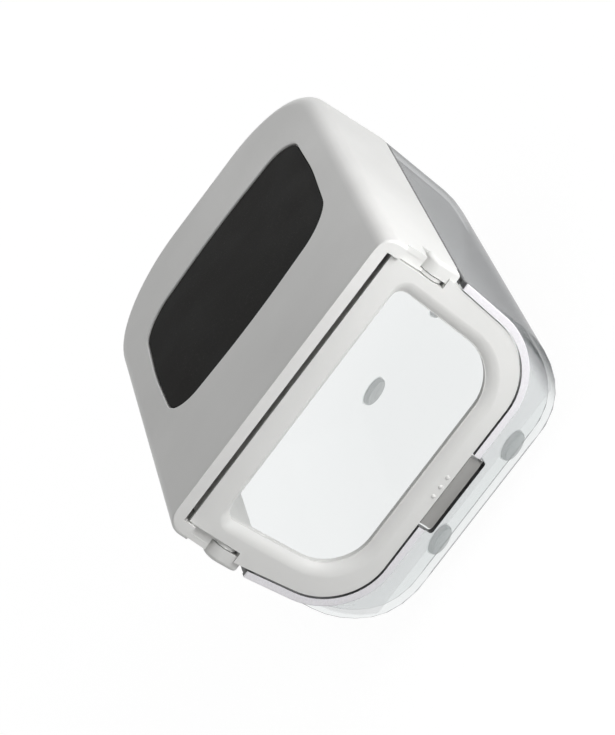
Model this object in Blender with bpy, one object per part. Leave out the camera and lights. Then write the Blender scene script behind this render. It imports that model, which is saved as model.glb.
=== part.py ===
"""A press-down vegetable chopper with a pour opening in its hinge end.

Food lies on a grid of blades in the cutting frame. The hinged lid carries a plate of pegs that pushes the
food through the grid into the clear container below. The cutting frame, its pour panel and the lid lift off
the container as one. Metres, +Z up, the pour end towards -Y, origin under the middle of the footprint.
"""
import math

import bmesh
import bpy
from mathutils import Vector

# Overall sizes
LENGTH = 0.225
HALF_WIDTH_REAR = 0.0726
HALF_WIDTH_FAR = 0.0698
CONTAINER_RIM = 0.0675
CUTTING_HEIGHT = 0.0265
LID_HEADROOM = 0.0120

# Walls and running gaps
WALL = 0.0024
SEAT_GAP = 0.0003
SLIDE_GAP = 0.0010
BORE_GAP = 0.0003
OVERSHOOT = 0.001
REAR = -LENGTH / 2

# Lid
LID_TOP = CONTAINER_RIM + CUTTING_HEIGHT + LID_HEADROOM
LID_ROOF = 0.0028
LID_SKIRT_FOOT = CONTAINER_RIM + SLIDE_GAP
LID_EDGE_RADIUS = 0.0068
LID_DRAFT = 0.0010
LID_FOOT_EDGE = 0.0004
LID_FAR_CORNER = 0.049
LID_REAR_CORNER = 0.0015
LIP_DROP = 0.0048
EAR_REAR = 0.0040
EAR_FRONT = 0.0170
EAR_RETURN = 0.0105

# Hinge, its axis set back from the rear face and down from the lid top
HINGE_BACK = 0.0080
HINGE_DROP = 0.0264
LUG_RADIUS = 0.0058
LUG_THICKNESS = 0.0064
TAB_THICKNESS = 0.0015
EAR_GAP = 0.0004
TAB_RADIUS = LUG_RADIUS - EAR_GAP
LUG_EDGE = 0.0016
LUG_LEAN = 0.0014
PIN_RADIUS = 0.0015
PIN_HEAD_RADIUS = 0.00275
PIN_HEAD = 0.0018
PIN_BITE = 0.0046
PIN_CHAMFER = 0.0005

# Pour panel
PANEL_FRONT = 0.0020
PANEL_GAP = 0.0014
PANEL_BOTTOM = 0.0228
PANEL_HALF_TOP = 0.0654
PANEL_HALF_SHOULDER = 0.0698
PANEL_TAPER = 0.13
PANEL_TOP_CORNER = 0.0025
PANEL_FOOT_CORNER = 0.027
ROOT_HEIGHT = 0.0032

# Pour opening and its dished edge
OPENING_UNDER_TOP = 0.0120
OPENING_OVER_BOTTOM = 0.0105
OPENING_SIDE = 0.0092
OPENING_FOOT_SIDE = 0.0120
OPENING_TOP_CORNER = 0.0045
OPENING_FOOT_CORNER = 0.018
DISH_WIDTH = 0.0052
DISH_WIDTH_TOP = 0.0020
DISH_DEPTH = 0.0052
DISH_STEP = 0.0003
LINING_LEAST = 0.0016

# Cutting frame
DECK_TOP = CONTAINER_RIM + CUTTING_HEIGHT
DECK = 0.0024
FRAME_SIDE_GAP = 0.0018
FLANGE = 0.0016
LIP_DEPTH = 0.0058
RETURN_FLANGE = 0.0030
DECK_EDGE = 0.0012
LIP_THINNER = 0.0004

# Blades and their retainer
BLADE_PITCH = 0.0127
BLADE_THICKNESS = 0.0005
BLADE_HEIGHT = 0.0080
BLADE_GRIND = 0.0012
BLADE_TANG = 0.0034
BLADE_SLOT_GAP = 0.00025
CELLS_AT_MOST = 8
WINDOW_MARGIN = 0.0006
RIB_WIDTH = 0.0086
RIB_CORNER = 0.0050
GRID_CENTRE = 0.12075
GRID_REAR_LEAST = 0.0300
RETAINER = 0.0025

# Pusher plate and pegs
PEG_TIP = 0.0090
PEG_ROOT = 0.0098
PEG_BITE = 0.0053
PEG_CHAMFER = 0.0006
PUSHER_PLATE = 0.0025
PUSHER_BORDER = 0.0050
PUSHER_CORNER = 0.0040
PUSHER_SCREW_OUT = 0.0020
BOSS_HEIGHT = 0.0030
BOSS_RADIUS = 0.0035

# Screws
SCREW_HEAD_RADIUS = 0.0024
SCREW_HEAD = 0.0014
SCREW_RADIUS = 0.0011
SCREW_LENGTH = 0.0062
SCREW_SLOT = 0.0007

# Grip pad
PAD_BACK = 0.1210
PAD_HALF_WIDTH = 0.0535
PAD_HALF_LENGTH = 0.0555
PAD_DEPTH = 0.0014
PAD_GAP = 0.0005
PAD_CROWN = 0.0006
PAD_EDGE = 0.0004
PAD_CORNER = 0.019
PAD_SIDE_BOW = 0.0022
PAD_END_BOW = 0.0050
PAD_BOW_RADIUS = 0.2

# Release tongue
TONGUE_HALF = 0.0165
TONGUE_STEM_HALF = TONGUE_HALF - 0.0010
TONGUE_FACE = 0.0054
TONGUE_GAP = 0.0013
TONGUE_PIN_UP = 0.0050
TONGUE_PIN_BACK = 0.0088
TONGUE_PIN_RADIUS = 0.0008
TONGUE_EYE = 0.0018
TONGUE_EDGE = 0.0003
TONGUE_SCOOP = 0.0009
TONGUE_NIB = 0.0020
CHEEK = 0.0022
DOT_PITCH = 0.0046
DOT_RADIUS = 0.0009
DOT_HEIGHT = 0.0021
DOT_RISE = 0.0006

# Container
CONTAINER_TAPER = 0.08
CONTAINER_SIDE_RADIUS = 0.034
CONTAINER_REAR_RADIUS = 0.013
CONTAINER_FAR_RADIUS = 0.018
CONTAINER_REAR_WALL = 0.0040
CONTAINER_REAR_CORNER = 0.0040
LEAST_CORNER = 0.0015
LEDGE = 0.0045
COLLAR = 0.0030
COLLAR_PROUD = 0.0008
FOOT_PROUD = 0.0015
FOOT_RADIUS = 0.0065
FOOT_SINK = 0.0008
FOOT_INSET = 0.0060
FOOT_CHAMFER = 0.0006

ARC_STEPS = 7

# Places that follow from the sizes
BLADE_TOP = DECK_TOP - DECK - SEAT_GAP
BLADE_FOOT = BLADE_TOP - BLADE_HEIGHT
RIB_FOOT = BLADE_FOOT + SEAT_GAP
HINGE_Y = REAR + HINGE_BACK
HINGE_Z = LID_TOP - HINGE_DROP
LIP_FOOT = LID_TOP - LIP_DROP
PANEL_TOP = LIP_FOOT - PANEL_GAP
PANEL_BACK = PANEL_FRONT + WALL
FRAME_REAR = PANEL_BACK + SEAT_GAP
EAR_FOOT = HINGE_Z + LUG_RADIUS + EAR_GAP
GROOVE_FOOT = HINGE_Z - LUG_RADIUS
LUG_FOOT = GROOVE_FOOT - ROOT_HEIGHT
LUG_INNER = PANEL_HALF_TOP + TAB_THICKNESS + 2 * SEAT_GAP
LUG_OUTER = LUG_INNER + LUG_THICKNESS
LID_INNER_REAR = HALF_WIDTH_REAR - WALL
LID_INNER_FAR = HALF_WIDTH_FAR - WALL
LID_FAR = LENGTH - WALL
FRAME_HALF_REAR = PANEL_HALF_TOP
FRAME_HALF_FAR = LID_INNER_FAR - FRAME_SIDE_GAP
FRAME_FAR = LID_FAR - FRAME_SIDE_GAP - SEAT_GAP
FRAME_FAR_CORNER = LID_FAR_CORNER - WALL - FRAME_SIDE_GAP
FLANGE_HALF_REAR = LID_INNER_REAR - SLIDE_GAP
FLANGE_HALF_FAR = LID_INNER_FAR - SLIDE_GAP
FLANGE_FAR = LID_FAR - SLIDE_GAP
LEDGE_WIDTH = HALF_WIDTH_REAR - SEAT_GAP - (FLANGE_HALF_REAR - FLANGE)
LIP_FAR_CORNER = LID_FAR_CORNER - LEDGE_WIDTH + SEAT_GAP

GRID_SPACE = 2 * (FRAME_HALF_FAR - WALL - RIB_WIDTH - WINDOW_MARGIN - SEAT_GAP)
COLUMNS = min(CELLS_AT_MOST, int(GRID_SPACE / BLADE_PITCH))
GRID_HALF_X = COLUMNS * BLADE_PITCH / 2
RIB_OUT = WINDOW_MARGIN + RIB_WIDTH
RIB_REACH = FRAME_FAR_CORNER - WALL - SEAT_GAP - RIB_CORNER
RIB_ASIDE = max(GRID_HALF_X + RIB_OUT - RIB_CORNER - FRAME_HALF_FAR + FRAME_FAR_CORNER, 0)
RIB_FAR_MOST = FRAME_FAR - FRAME_FAR_CORNER + RIB_CORNER + math.sqrt(max(RIB_REACH ** 2 - RIB_ASIDE ** 2, 0))
ROWS = min(CELLS_AT_MOST, int((RIB_FAR_MOST - GRID_REAR_LEAST - 2 * RIB_OUT) / BLADE_PITCH))
GRID_HALF_Y = ROWS * BLADE_PITCH / 2
GRID_Y = REAR + min(GRID_CENTRE, RIB_FAR_MOST - GRID_HALF_Y - RIB_OUT)


def material(name, colour, roughness, metallic=0.0, transmission=0.0):
    """Give a Principled material in the part's own colour."""
    made = bpy.data.materials.get(name)
    if made:
        return made
    made = bpy.data.materials.new(name)
    made.use_nodes = True
    shader = made.node_tree.nodes["Principled BSDF"]
    shader.inputs["Base Color"].default_value = (*colour, 1.0)
    shader.inputs["Roughness"].default_value = roughness
    shader.inputs["Metallic"].default_value = metallic
    shader.inputs["Transmission Weight"].default_value = transmission
    made.diffuse_color = (*colour, 1.0)
    return made


def white_plastic():
    return material("white_plastic", (0.72, 0.72, 0.71), 0.38)


def clear_plastic():
    return material("clear_plastic", (0.86, 0.90, 0.90), 0.06, transmission=0.9)


def soft_black():
    return material("soft_black", (0.018, 0.017, 0.017), 0.62)


def grey_plastic():
    return material("grey_plastic", (0.38, 0.38, 0.37), 0.42)


def soft_grey():
    return material("soft_grey", (0.20, 0.20, 0.20), 0.70)


def steel():
    return material("stainless_steel", (0.62, 0.62, 0.62), 0.24, metallic=1.0)


def rounded(corners, radii, steps=ARC_STEPS):
    """Round each corner of a flat outline with an arc of its own radius."""
    points = []
    for index, corner in enumerate(corners):
        corner = Vector(corner)
        before = (Vector(corners[index - 1]) - corner).normalized()
        after = (Vector(corners[(index + 1) % len(corners)]) - corner).normalized()
        half = before.angle(after) / 2
        reach = radii[index] / math.tan(half)
        centre = corner + (before + after).normalized() * (radii[index] / math.sin(half))
        start = corner + before * reach - centre
        finish = corner + after * reach - centre
        first = math.atan2(start.y, start.x)
        turn = math.atan2(start.x * finish.y - start.y * finish.x, start.dot(finish))
        for step in range(steps + 1):
            angle = first + turn * step / steps
            points.append(centre + Vector((math.cos(angle), math.sin(angle))) * radii[index])
    return points


def mirrored(half):
    """Join a half outline at +X, listed top to bottom, with its mirror at -X."""
    return half + [(-x, z) for x, z in reversed(half)]


def shape(name, vertices, faces, surface):
    """Make one closed object with its faces pointing out."""
    work = bmesh.new()
    made = [work.verts.new(vertex) for vertex in vertices]
    for face in faces:
        work.faces.new([made[index] for index in face])
    bmesh.ops.recalc_face_normals(work, faces=work.faces)
    return finish(name, work, surface)


def finish(name, work, surface):
    """Turn worked geometry into an object, smooth except at its edges."""
    mesh = bpy.data.meshes.new(name)
    work.to_mesh(mesh)
    work.free()
    mesh.materials.append(surface)
    mesh.shade_smooth()
    mesh.set_sharp_from_angle(angle=math.radians(35))
    result = bpy.data.objects.new(name, mesh)
    bpy.context.collection.objects.link(result)
    return result


def loft(name, loops, surface, ring=False):
    """Skin a row of loops with equal counts; the ends are capped, or joined when it is a ring."""
    count = len(loops[0])
    vertices = [point for loop in loops for point in loop]
    faces = []
    last = len(loops) if ring else len(loops) - 1
    for row in range(last):
        here = row * count
        there = ((row + 1) % len(loops)) * count
        for index in range(count):
            following = (index + 1) % count
            faces.append((here + index, here + following, there + following, there + index))
    if not ring:
        faces.append(tuple(range(count)))
        faces.append(tuple(range((len(loops) - 1) * count, len(loops) * count)))
    return shape(name, vertices, faces, surface)


def plan(half_rear, half_far, rear, far, corner_rear, corner_far, z):
    """A level loop: a tapered rectangle, its ends given as distances from the rear face."""
    corners = [(half_rear, rear), (half_far, far), (-half_far, far), (-half_rear, rear)]
    radii = [corner_rear, corner_far, corner_far, corner_rear]
    return [(point.x, REAR + point.y, z) for point in rounded(corners, radii)]


def upright(outline, back):
    """An outline in X and Z stood up at a distance behind the rear face."""
    return [(point[0], REAR + back, point[1]) for point in outline]


def sideways(outline, x):
    """An outline in Y and Z placed at one X."""
    return [(x, point[0], point[1]) for point in outline]


def disc(centre_x, centre_y, radius, z, steps=20):
    turns = [2 * math.pi * step / steps for step in range(steps)]
    return [(centre_x + radius * math.cos(turn), centre_y + radius * math.sin(turn), z) for turn in turns]


def arc(centre_y, centre_z, radius, first, last, steps):
    """Points on an arc in Y and Z, angles in degrees from +Y towards +Z."""
    turns = [math.radians(first + (last - first) * step / steps) for step in range(steps + 1)]
    return [(centre_y + radius * math.cos(turn), centre_z + radius * math.sin(turn)) for turn in turns]


def box_solid(low, high):
    """Vertices and faces of a plain block, for cutters made of several blocks."""
    vertices = [(x, y, z) for x in (low[0], high[0]) for y in (low[1], high[1]) for z in (low[2], high[2])]
    faces = [(0, 1, 3, 2), (4, 6, 7, 5), (0, 4, 5, 1), (2, 3, 7, 6), (0, 2, 6, 4), (1, 5, 7, 3)]
    return vertices, faces


def blocks(name, bounds):
    """One tool object made of separate blocks."""
    vertices = []
    faces = []
    for low, high in bounds:
        corners, sides = box_solid(low, high)
        faces.extend(tuple(index + len(vertices) for index in side) for side in sides)
        vertices.extend(corners)
    return shape(name, vertices, faces, white_plastic())


def combine(target, tool, operation):
    """Add or cut a tool solid with an exact Boolean, and hide the tool."""
    modifier = target.modifiers.new(tool.name, "BOOLEAN")
    modifier.operation = operation
    modifier.solver = "EXACT"
    modifier.object = tool
    tool.hide_render = True
    tool.display_type = "WIRE"
    return target


def cut(target, tool):
    return combine(target, tool, "DIFFERENCE")


def add(target, tool):
    return combine(target, tool, "UNION")


def container():
    """Clear tub: outer skin, rim and inner skin in one loft, with a collar round the panel's notch."""
    foot = FOOT_PROUD
    rear = PANEL_FRONT
    far = LENGTH - SEAT_GAP

    def skin(z, inward, rear_inward, far_inward, corner):
        lean = CONTAINER_TAPER * (CONTAINER_RIM - z)
        return plan(HALF_WIDTH_REAR - SEAT_GAP - lean - inward, HALF_WIDTH_FAR - SEAT_GAP - lean - inward,
                    rear + rear_inward, far - lean - far_inward,
                    max(CONTAINER_REAR_CORNER - corner, LEAST_CORNER),
                    max(LID_FAR_CORNER - inward, LEAST_CORNER), z)

    def fillet(radius, height):
        """How far a foot fillet draws a wall in at a height over the foot."""
        drop = max(radius - height, 0)
        return radius - math.sqrt(radius * radius - drop * drop)

    def rounded_skin(height, wall, rear_wall):
        return skin(foot + wall + height, wall + fillet(CONTAINER_SIDE_RADIUS - wall, height),
                    rear_wall + fillet(CONTAINER_REAR_RADIUS - wall, height),
                    wall + fillet(CONTAINER_FAR_RADIUS - wall, height), wall / 2)

    heights = [1 - math.cos(math.radians(15 * step)) for step in range(7)]
    loops = [rounded_skin(CONTAINER_SIDE_RADIUS * height, 0, 0) for height in heights]
    loops.append(skin(CONTAINER_RIM - SEAT_GAP, 0, 0, 0, 0))
    loops.append(skin(CONTAINER_RIM, SEAT_GAP, SEAT_GAP, SEAT_GAP, 0))
    upright_ledge = LEDGE_WIDTH - CONTAINER_TAPER * LEDGE
    sharper = WALL / 2
    loops.append(skin(CONTAINER_RIM, LEDGE_WIDTH, CONTAINER_REAR_WALL, LEDGE_WIDTH, sharper))
    loops.append(skin(CONTAINER_RIM - LEDGE, upright_ledge, CONTAINER_REAR_WALL, upright_ledge, sharper))
    loops.append(skin(CONTAINER_RIM - LEDGE - LEDGE_WIDTH + WALL, WALL, CONTAINER_REAR_WALL, WALL, sharper))
    inner = CONTAINER_SIDE_RADIUS - WALL
    loops += [rounded_skin(inner * height, WALL, CONTAINER_REAR_WALL) for height in reversed(heights)]
    tub = loft("container", loops, clear_plastic())

    brim = upright(panel_outline(TONGUE_GAP / 2 + COLLAR, above=0.0), PANEL_FRONT - COLLAR_PROUD)
    root = upright(panel_outline(TONGUE_GAP / 2 + COLLAR, above=0.0), PANEL_FRONT + COLLAR)
    add(tub, loft("collar_tool", [brim, root], clear_plastic()))
    back = CONTAINER_REAR_WALL + PANEL_FRONT + 2 * SLIDE_GAP
    notch = panel_outline(TONGUE_GAP / 2, above=CUTTING_HEIGHT)
    cut(tub, loft("panel_notch_tool", [upright(notch, -SLIDE_GAP), upright(notch, back)], clear_plastic()))
    foot_z = PANEL_BOTTOM - SEAT_GAP - TONGUE_FACE - TONGUE_GAP
    half = TONGUE_HALF + TONGUE_GAP
    corners = mirrored([(half, PANEL_BOTTOM + SLIDE_GAP), (half, foot_z)])
    outline = rounded(corners, [SEAT_GAP, TONGUE_GAP, TONGUE_GAP, SEAT_GAP], 4)
    ends = [upright(outline, -SLIDE_GAP), upright(outline, back)]
    cut(tub, loft("tongue_notch_tool", ends, clear_plastic()))
    for x, y in foot_places():
        depth = foot + FOOT_SINK + SEAT_GAP
        well = loft("foot_well_tool", [disc(x, y, FOOT_RADIUS + SEAT_GAP, -SLIDE_GAP),
                                       disc(x, y, FOOT_RADIUS + SEAT_GAP, depth)], clear_plastic())
        cut(tub, well)
    return tub


def foot_places():
    """Four feet near the corners of the flat bottom."""
    lean = CONTAINER_TAPER * CONTAINER_RIM
    x = HALF_WIDTH_FAR - lean - CONTAINER_SIDE_RADIUS - FOOT_RADIUS
    rear = REAR + PANEL_FRONT + CONTAINER_REAR_RADIUS + FOOT_RADIUS + FOOT_INSET
    far = REAR + LENGTH - lean - CONTAINER_FAR_RADIUS - FOOT_RADIUS - FOOT_INSET
    return [(side * x, y) for y in (rear, far) for side in (-1, 1)]


def feet():
    made = []
    for number, (x, y) in enumerate(foot_places(), 1):
        top = FOOT_PROUD + FOOT_SINK
        loops = [disc(x, y, FOOT_RADIUS - FOOT_CHAMFER, 0), disc(x, y, FOOT_RADIUS, FOOT_CHAMFER),
                 disc(x, y, FOOT_RADIUS, top)]
        made.append(loft(f"foot_{number}", loops, soft_grey()))
    return made


def panel_half(z):
    """Half width of the panel below its shoulders."""
    return PANEL_HALF_SHOULDER - PANEL_TAPER * (GROOVE_FOOT - z)


def panel_outline(grow=0.0, above=None):
    """The panel seen from behind: narrow between the hinge lugs, then shoulders that taper to round feet.

    With a height above the container's rim it gives the plain U of the container's notch.
    """
    bottom = PANEL_BOTTOM - grow
    foot = (panel_half(PANEL_BOTTOM) + grow, bottom)
    if above is None:
        half = [(PANEL_HALF_TOP, PANEL_TOP), (PANEL_HALF_TOP, GROOVE_FOOT),
                (PANEL_HALF_SHOULDER, GROOVE_FOOT), foot]
        radii = [PANEL_TOP_CORNER, SEAT_GAP, 2 * SEAT_GAP, PANEL_FOOT_CORNER]
    else:
        top = CONTAINER_RIM + above
        half = [(panel_half(top) + grow, top), foot]
        radii = [SEAT_GAP, PANEL_FOOT_CORNER + grow]
    return rounded(mirrored(half), radii + radii[::-1])


def opening_outline(grow, grow_top):
    """The pour opening, wider at the top, with large round feet."""
    top = PANEL_TOP - OPENING_UNDER_TOP
    bottom = PANEL_BOTTOM + OPENING_OVER_BOTTOM
    half_top = PANEL_HALF_TOP - OPENING_SIDE
    half_bottom = panel_half(bottom) - OPENING_FOOT_SIDE
    half = [(half_top + grow, top + grow_top), (half_bottom + grow, bottom - grow)]
    radii = [OPENING_TOP_CORNER + grow_top, OPENING_FOOT_CORNER + grow]
    return rounded(mirrored(half), radii + radii[::-1])


def lug_profile(inset):
    """Side view of a hinge lug: a round eye drawn down to a root that leans away from the rear."""
    radius = LUG_RADIUS - inset
    points = arc(HINGE_Y, HINGE_Z, radius, 0, 180, 14)
    points.append((HINGE_Y - LUG_RADIUS + LUG_LEAN + inset, LUG_FOOT + inset * 2))
    points.append((HINGE_Y + LUG_RADIUS - inset, LUG_FOOT + inset * 2))
    return points


def window_plate(name, front, back, rings, surface):
    """A plate between two like outlines, with a moulded hole that a row of rings lines front to back."""
    work = bmesh.new()

    def closed(points):
        made = [work.verts.new(point) for point in points]
        edges = [work.edges.new((made[index - 1], made[index])) for index in range(len(made))]
        return made, edges

    def skin(first, second):
        for index in range(len(first)):
            work.faces.new((first[index - 1], first[index], second[index], second[index - 1]))

    outer_front, edges_front = closed(front)
    outer_back, edges_back = closed(back)
    lining = [closed(ring) for ring in rings]
    skin(outer_front, outer_back)
    for row in range(len(lining) - 1):
        skin(lining[row][0], lining[row + 1][0])
    bmesh.ops.triangle_fill(work, use_beauty=True, edges=edges_front + lining[0][1], normal=(0, -1, 0))
    bmesh.ops.triangle_fill(work, use_beauty=True, edges=edges_back + lining[-1][1], normal=(0, 1, 0))
    bmesh.ops.recalc_face_normals(work, faces=work.faces)
    return finish(name, work, surface)


def pour_panel():
    """End panel with the dished pour opening and the two hinge lugs, moulded in one.

    The dish and the lining behind it are pairs: the share of the dish's width, the share of its depth.
    """
    face = PANEL_FRONT + DISH_STEP
    front = [(0.97, 0.0), (0.70, 0.06), (0.42, 0.22), (0.18, 0.52), (0.04, 0.84), (0.0, 1.0)]
    back = [(0.24, 1.0), (0.44, 0.66), (0.70, 0.42), (1.0, 0.40)]
    rings = [upright(opening_outline(DISH_WIDTH, DISH_WIDTH_TOP), PANEL_FRONT)]
    for share, depth in front:
        outline = opening_outline(DISH_WIDTH * share, DISH_WIDTH_TOP * share)
        rings.append(upright(outline, face + DISH_DEPTH * depth))
    for share, depth in back:
        tall = max(DISH_WIDTH_TOP * share, LINING_LEAST)
        back_at = PANEL_BACK if share == 1.0 else face + DISH_DEPTH * depth
        rings.append(upright(opening_outline(DISH_WIDTH * share, tall), back_at))
    outline = panel_outline()
    panel = window_plate("pour_panel", upright(outline, PANEL_FRONT), upright(outline, PANEL_BACK), rings,
                         white_plastic())

    for side in (-1, 1):
        sections = [(LUG_INNER, 0.0), (LUG_OUTER - LUG_EDGE, 0.0),
                    (LUG_OUTER - LUG_EDGE * 0.3, LUG_EDGE * 0.4), (LUG_OUTER, LUG_EDGE)]
        levels = [sideways(lug_profile(inset), side * x) for x, inset in sections]
        add(panel, loft("lug_tool", levels, white_plastic()))
        root_low = (side * (PANEL_HALF_TOP + SEAT_GAP), REAR + PANEL_FRONT + DISH_STEP, LUG_FOOT + SEAT_GAP)
        root_high = (side * (LUG_INNER + OVERSHOOT), HINGE_Y + LUG_RADIUS - SEAT_GAP,
                     GROOVE_FOOT - SEAT_GAP / 3)
        low = tuple(min(pair) for pair in zip(root_low, root_high))
        high = tuple(max(pair) for pair in zip(root_low, root_high))
        add(panel, blocks("root_tool", [(low, high)]))
        bore = PIN_RADIUS + BORE_GAP
        depth = LUG_INNER + PIN_BITE + SEAT_GAP
        circle = arc(HINGE_Y, HINGE_Z, bore, 0, 345, 23)
        cut(panel, loft("pin_bore_tool", [sideways(circle, side * (LUG_INNER - OVERSHOOT)),
                                          sideways(circle, side * depth)], white_plastic()))

    pin_z = PANEL_BOTTOM + TONGUE_PIN_UP
    pin_y = REAR + TONGUE_PIN_BACK
    inner = TONGUE_STEM_HALF + SEAT_GAP
    for side in (-1, 1):
        root = REAR + PANEL_BACK - SEAT_GAP
        cheek = [(root, pin_z - CHEEK - OVERSHOOT), (pin_y + CHEEK / 5, pin_z - CHEEK)]
        cheek += arc(pin_y, pin_z, CHEEK, -70, 90, 8)
        cheek += [(root, pin_z + CHEEK)]
        sides = [sideways(cheek, side * inner), sideways(cheek, side * (inner + CHEEK))]
        add(panel, loft("cheek_tool", sides, white_plastic()))
    circle = arc(pin_y, pin_z, TONGUE_PIN_RADIUS + BORE_GAP, 0, 330, 11)
    reach = inner + CHEEK + OVERSHOOT
    ends = [sideways(circle, -reach), sideways(circle, reach)]
    cut(panel, loft("tongue_pin_bore_tool", ends, white_plastic()))

    for place in (-1, 0, 1):
        dot = []
        centre_z = PANEL_BOTTOM + DOT_HEIGHT
        for step in range(4):
            turn = math.radians(90 * step / 4)
            radius = DOT_RADIUS * math.cos(turn)
            rise = DOT_RISE * math.sin(turn)
            ring = disc(place * DOT_PITCH, 0, radius, 0, 12)
            dot.append([(x, REAR + PANEL_FRONT - rise, centre_z + y) for x, y, _ in ring])
        dot.insert(0, [(x, REAR + PANEL_FRONT + OVERSHOOT / 2, z) for x, _, z in dot[0]])
        add(panel, loft("dot_tool", dot, white_plastic()))
    return panel


def cutting_frame():
    """Deck, side walls, flange and lip in one loft, open at the rear, with slots for the blade ends."""
    deck_under = DECK_TOP - DECK
    flange_foot = CONTAINER_RIM + SEAT_GAP
    flange_top = flange_foot + FLANGE
    lip_foot = CONTAINER_RIM - LIP_DEPTH
    lip_rear = FLANGE_HALF_REAR - FLANGE - SEAT_GAP
    lip_far = FLANGE_HALF_FAR - FLANGE - SEAT_GAP
    lip_end = FLANGE_FAR - FLANGE - SEAT_GAP

    def loop(rear, far, end, z, corner):
        return plan(rear, far, FRAME_REAR - (rear - lip_rear + WALL) / 2, end, SEAT_GAP, corner, z)

    def wall(inward, z):
        return loop(FRAME_HALF_REAR - inward, FRAME_HALF_FAR - inward, FRAME_FAR - inward, z,
                    FRAME_FAR_CORNER - inward)

    flange_corner = FRAME_FAR_CORNER + SLIDE_GAP
    loops = [wall(DECK_EDGE, DECK_TOP), wall(DECK_EDGE / 4, DECK_TOP - DECK_EDGE / 3),
             wall(0, DECK_TOP - DECK_EDGE), wall(0, flange_top),
             loop(FLANGE_HALF_REAR, FLANGE_HALF_FAR, FLANGE_FAR, flange_top, flange_corner),
             loop(FLANGE_HALF_REAR, FLANGE_HALF_FAR, FLANGE_FAR, flange_foot, flange_corner),
             loop(lip_rear, lip_far, lip_end, flange_foot, LIP_FAR_CORNER),
             loop(lip_rear, lip_far, lip_end, lip_foot, LIP_FAR_CORNER)]
    shift = WALL - LIP_THINNER

    def inside(rear, far, end, z, corner):
        return plan(rear, far, FRAME_REAR + WALL, end, 2 * SEAT_GAP, corner, z)

    for z in (lip_foot, flange_foot - SLIDE_GAP):
        loops.append(inside(lip_rear - shift, lip_far - shift, lip_end - shift, z, LIP_FAR_CORNER - shift))
    for z in (flange_top + SLIDE_GAP, deck_under):
        loops.append(inside(FRAME_HALF_REAR - WALL, FRAME_HALF_FAR - WALL, FRAME_FAR - WALL, z,
                            FRAME_FAR_CORNER - WALL))
    frame = loft("cutting_frame", loops, white_plastic())
    wide = HALF_WIDTH_REAR + WALL
    cut(frame, blocks("rear_trim_tool", [((-wide, REAR - WALL, 0), (wide, REAR + FRAME_REAR, LID_TOP))]))

    window_x = GRID_HALF_X + WINDOW_MARGIN
    window_y = GRID_HALF_Y + WINDOW_MARGIN
    under = RIB_FOOT - OVERSHOOT
    add(frame, loft("rib_tool", [rib_loop(RIB_WIDTH, RIB_FOOT), rib_loop(RIB_WIDTH, deck_under + OVERSHOOT)],
                    white_plastic()))
    cut(frame, blocks("window_tool", [((-window_x, GRID_Y - window_y, under),
                                       (window_x, GRID_Y + window_y, DECK_TOP + OVERSHOOT))]))

    slot = BLADE_THICKNESS / 2 + BLADE_SLOT_GAP
    slot_top = BLADE_TOP + SEAT_GAP / 2
    reach_x = window_x + BLADE_TANG + SEAT_GAP
    reach_y = window_y + BLADE_TANG + SEAT_GAP
    along = [((x - slot, GRID_Y - reach_y, under), (x + slot, GRID_Y + reach_y, slot_top))
             for x in long_blade_places()]
    across = [((-reach_x, y - slot, under), (reach_x, y + slot, slot_top)) for y in cross_blade_places()]
    cut(frame, blocks("long_slot_tool", along))
    cut(frame, blocks("cross_slot_tool", across))

    mouth = FRAME_HALF_REAR - RETURN_FLANGE
    cut(frame, blocks("mouth_tool", [((-mouth, REAR, lip_foot - OVERSHOOT),
                                      (mouth, REAR + FRAME_REAR + 2 * WALL, deck_under - SEAT_GAP))]))
    circle = arc(HINGE_Y, HINGE_Z, PIN_RADIUS + BORE_GAP, 0, 345, 23)
    room = arc(HINGE_Y, HINGE_Z, PIN_HEAD_RADIUS + BORE_GAP, 0, 345, 23)
    for side in (-1, 1):
        ends = [sideways(circle, side * (FRAME_HALF_REAR - 2 * WALL)),
                sideways(circle, side * (FRAME_HALF_REAR + OVERSHOOT))]
        cut(frame, loft("frame_bore_tool", ends, white_plastic()))
        ends = [sideways(room, side * (mouth - OVERSHOOT)),
                sideways(room, side * (FRAME_HALF_REAR - WALL - SEAT_GAP / 3))]
        cut(frame, loft("pin_head_room_tool", ends, white_plastic()))
    for x, y in retainer_screw_places():
        bore = SCREW_RADIUS + BORE_GAP
        top = RIB_FOOT + SCREW_LENGTH - RETAINER + SEAT_GAP
        cut(frame, loft("screw_bore_tool", [disc(x, y, bore, under, 12), disc(x, y, bore, top, 12)],
                        white_plastic()))
    return frame


def rib_loop(grow, z):
    """A level loop round the blade window, its corners rounder the farther out it lies."""
    x = GRID_HALF_X + WINDOW_MARGIN + grow
    y = GRID_HALF_Y + WINDOW_MARGIN + grow
    radius = max(RIB_CORNER * grow / RIB_WIDTH, BLADE_TANG / 3)
    corners = [(x, -y), (x, y), (-x, y), (-x, -y)]
    return [(point.x, GRID_Y + point.y, z) for point in rounded(corners, [radius] * 4, 4)]


def long_blade_places():
    return [BLADE_PITCH * (number - COLUMNS / 2) for number in range(1, COLUMNS)]


def cross_blade_places():
    return [GRID_Y + BLADE_PITCH * (number - ROWS / 2) for number in range(1, ROWS)]


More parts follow.
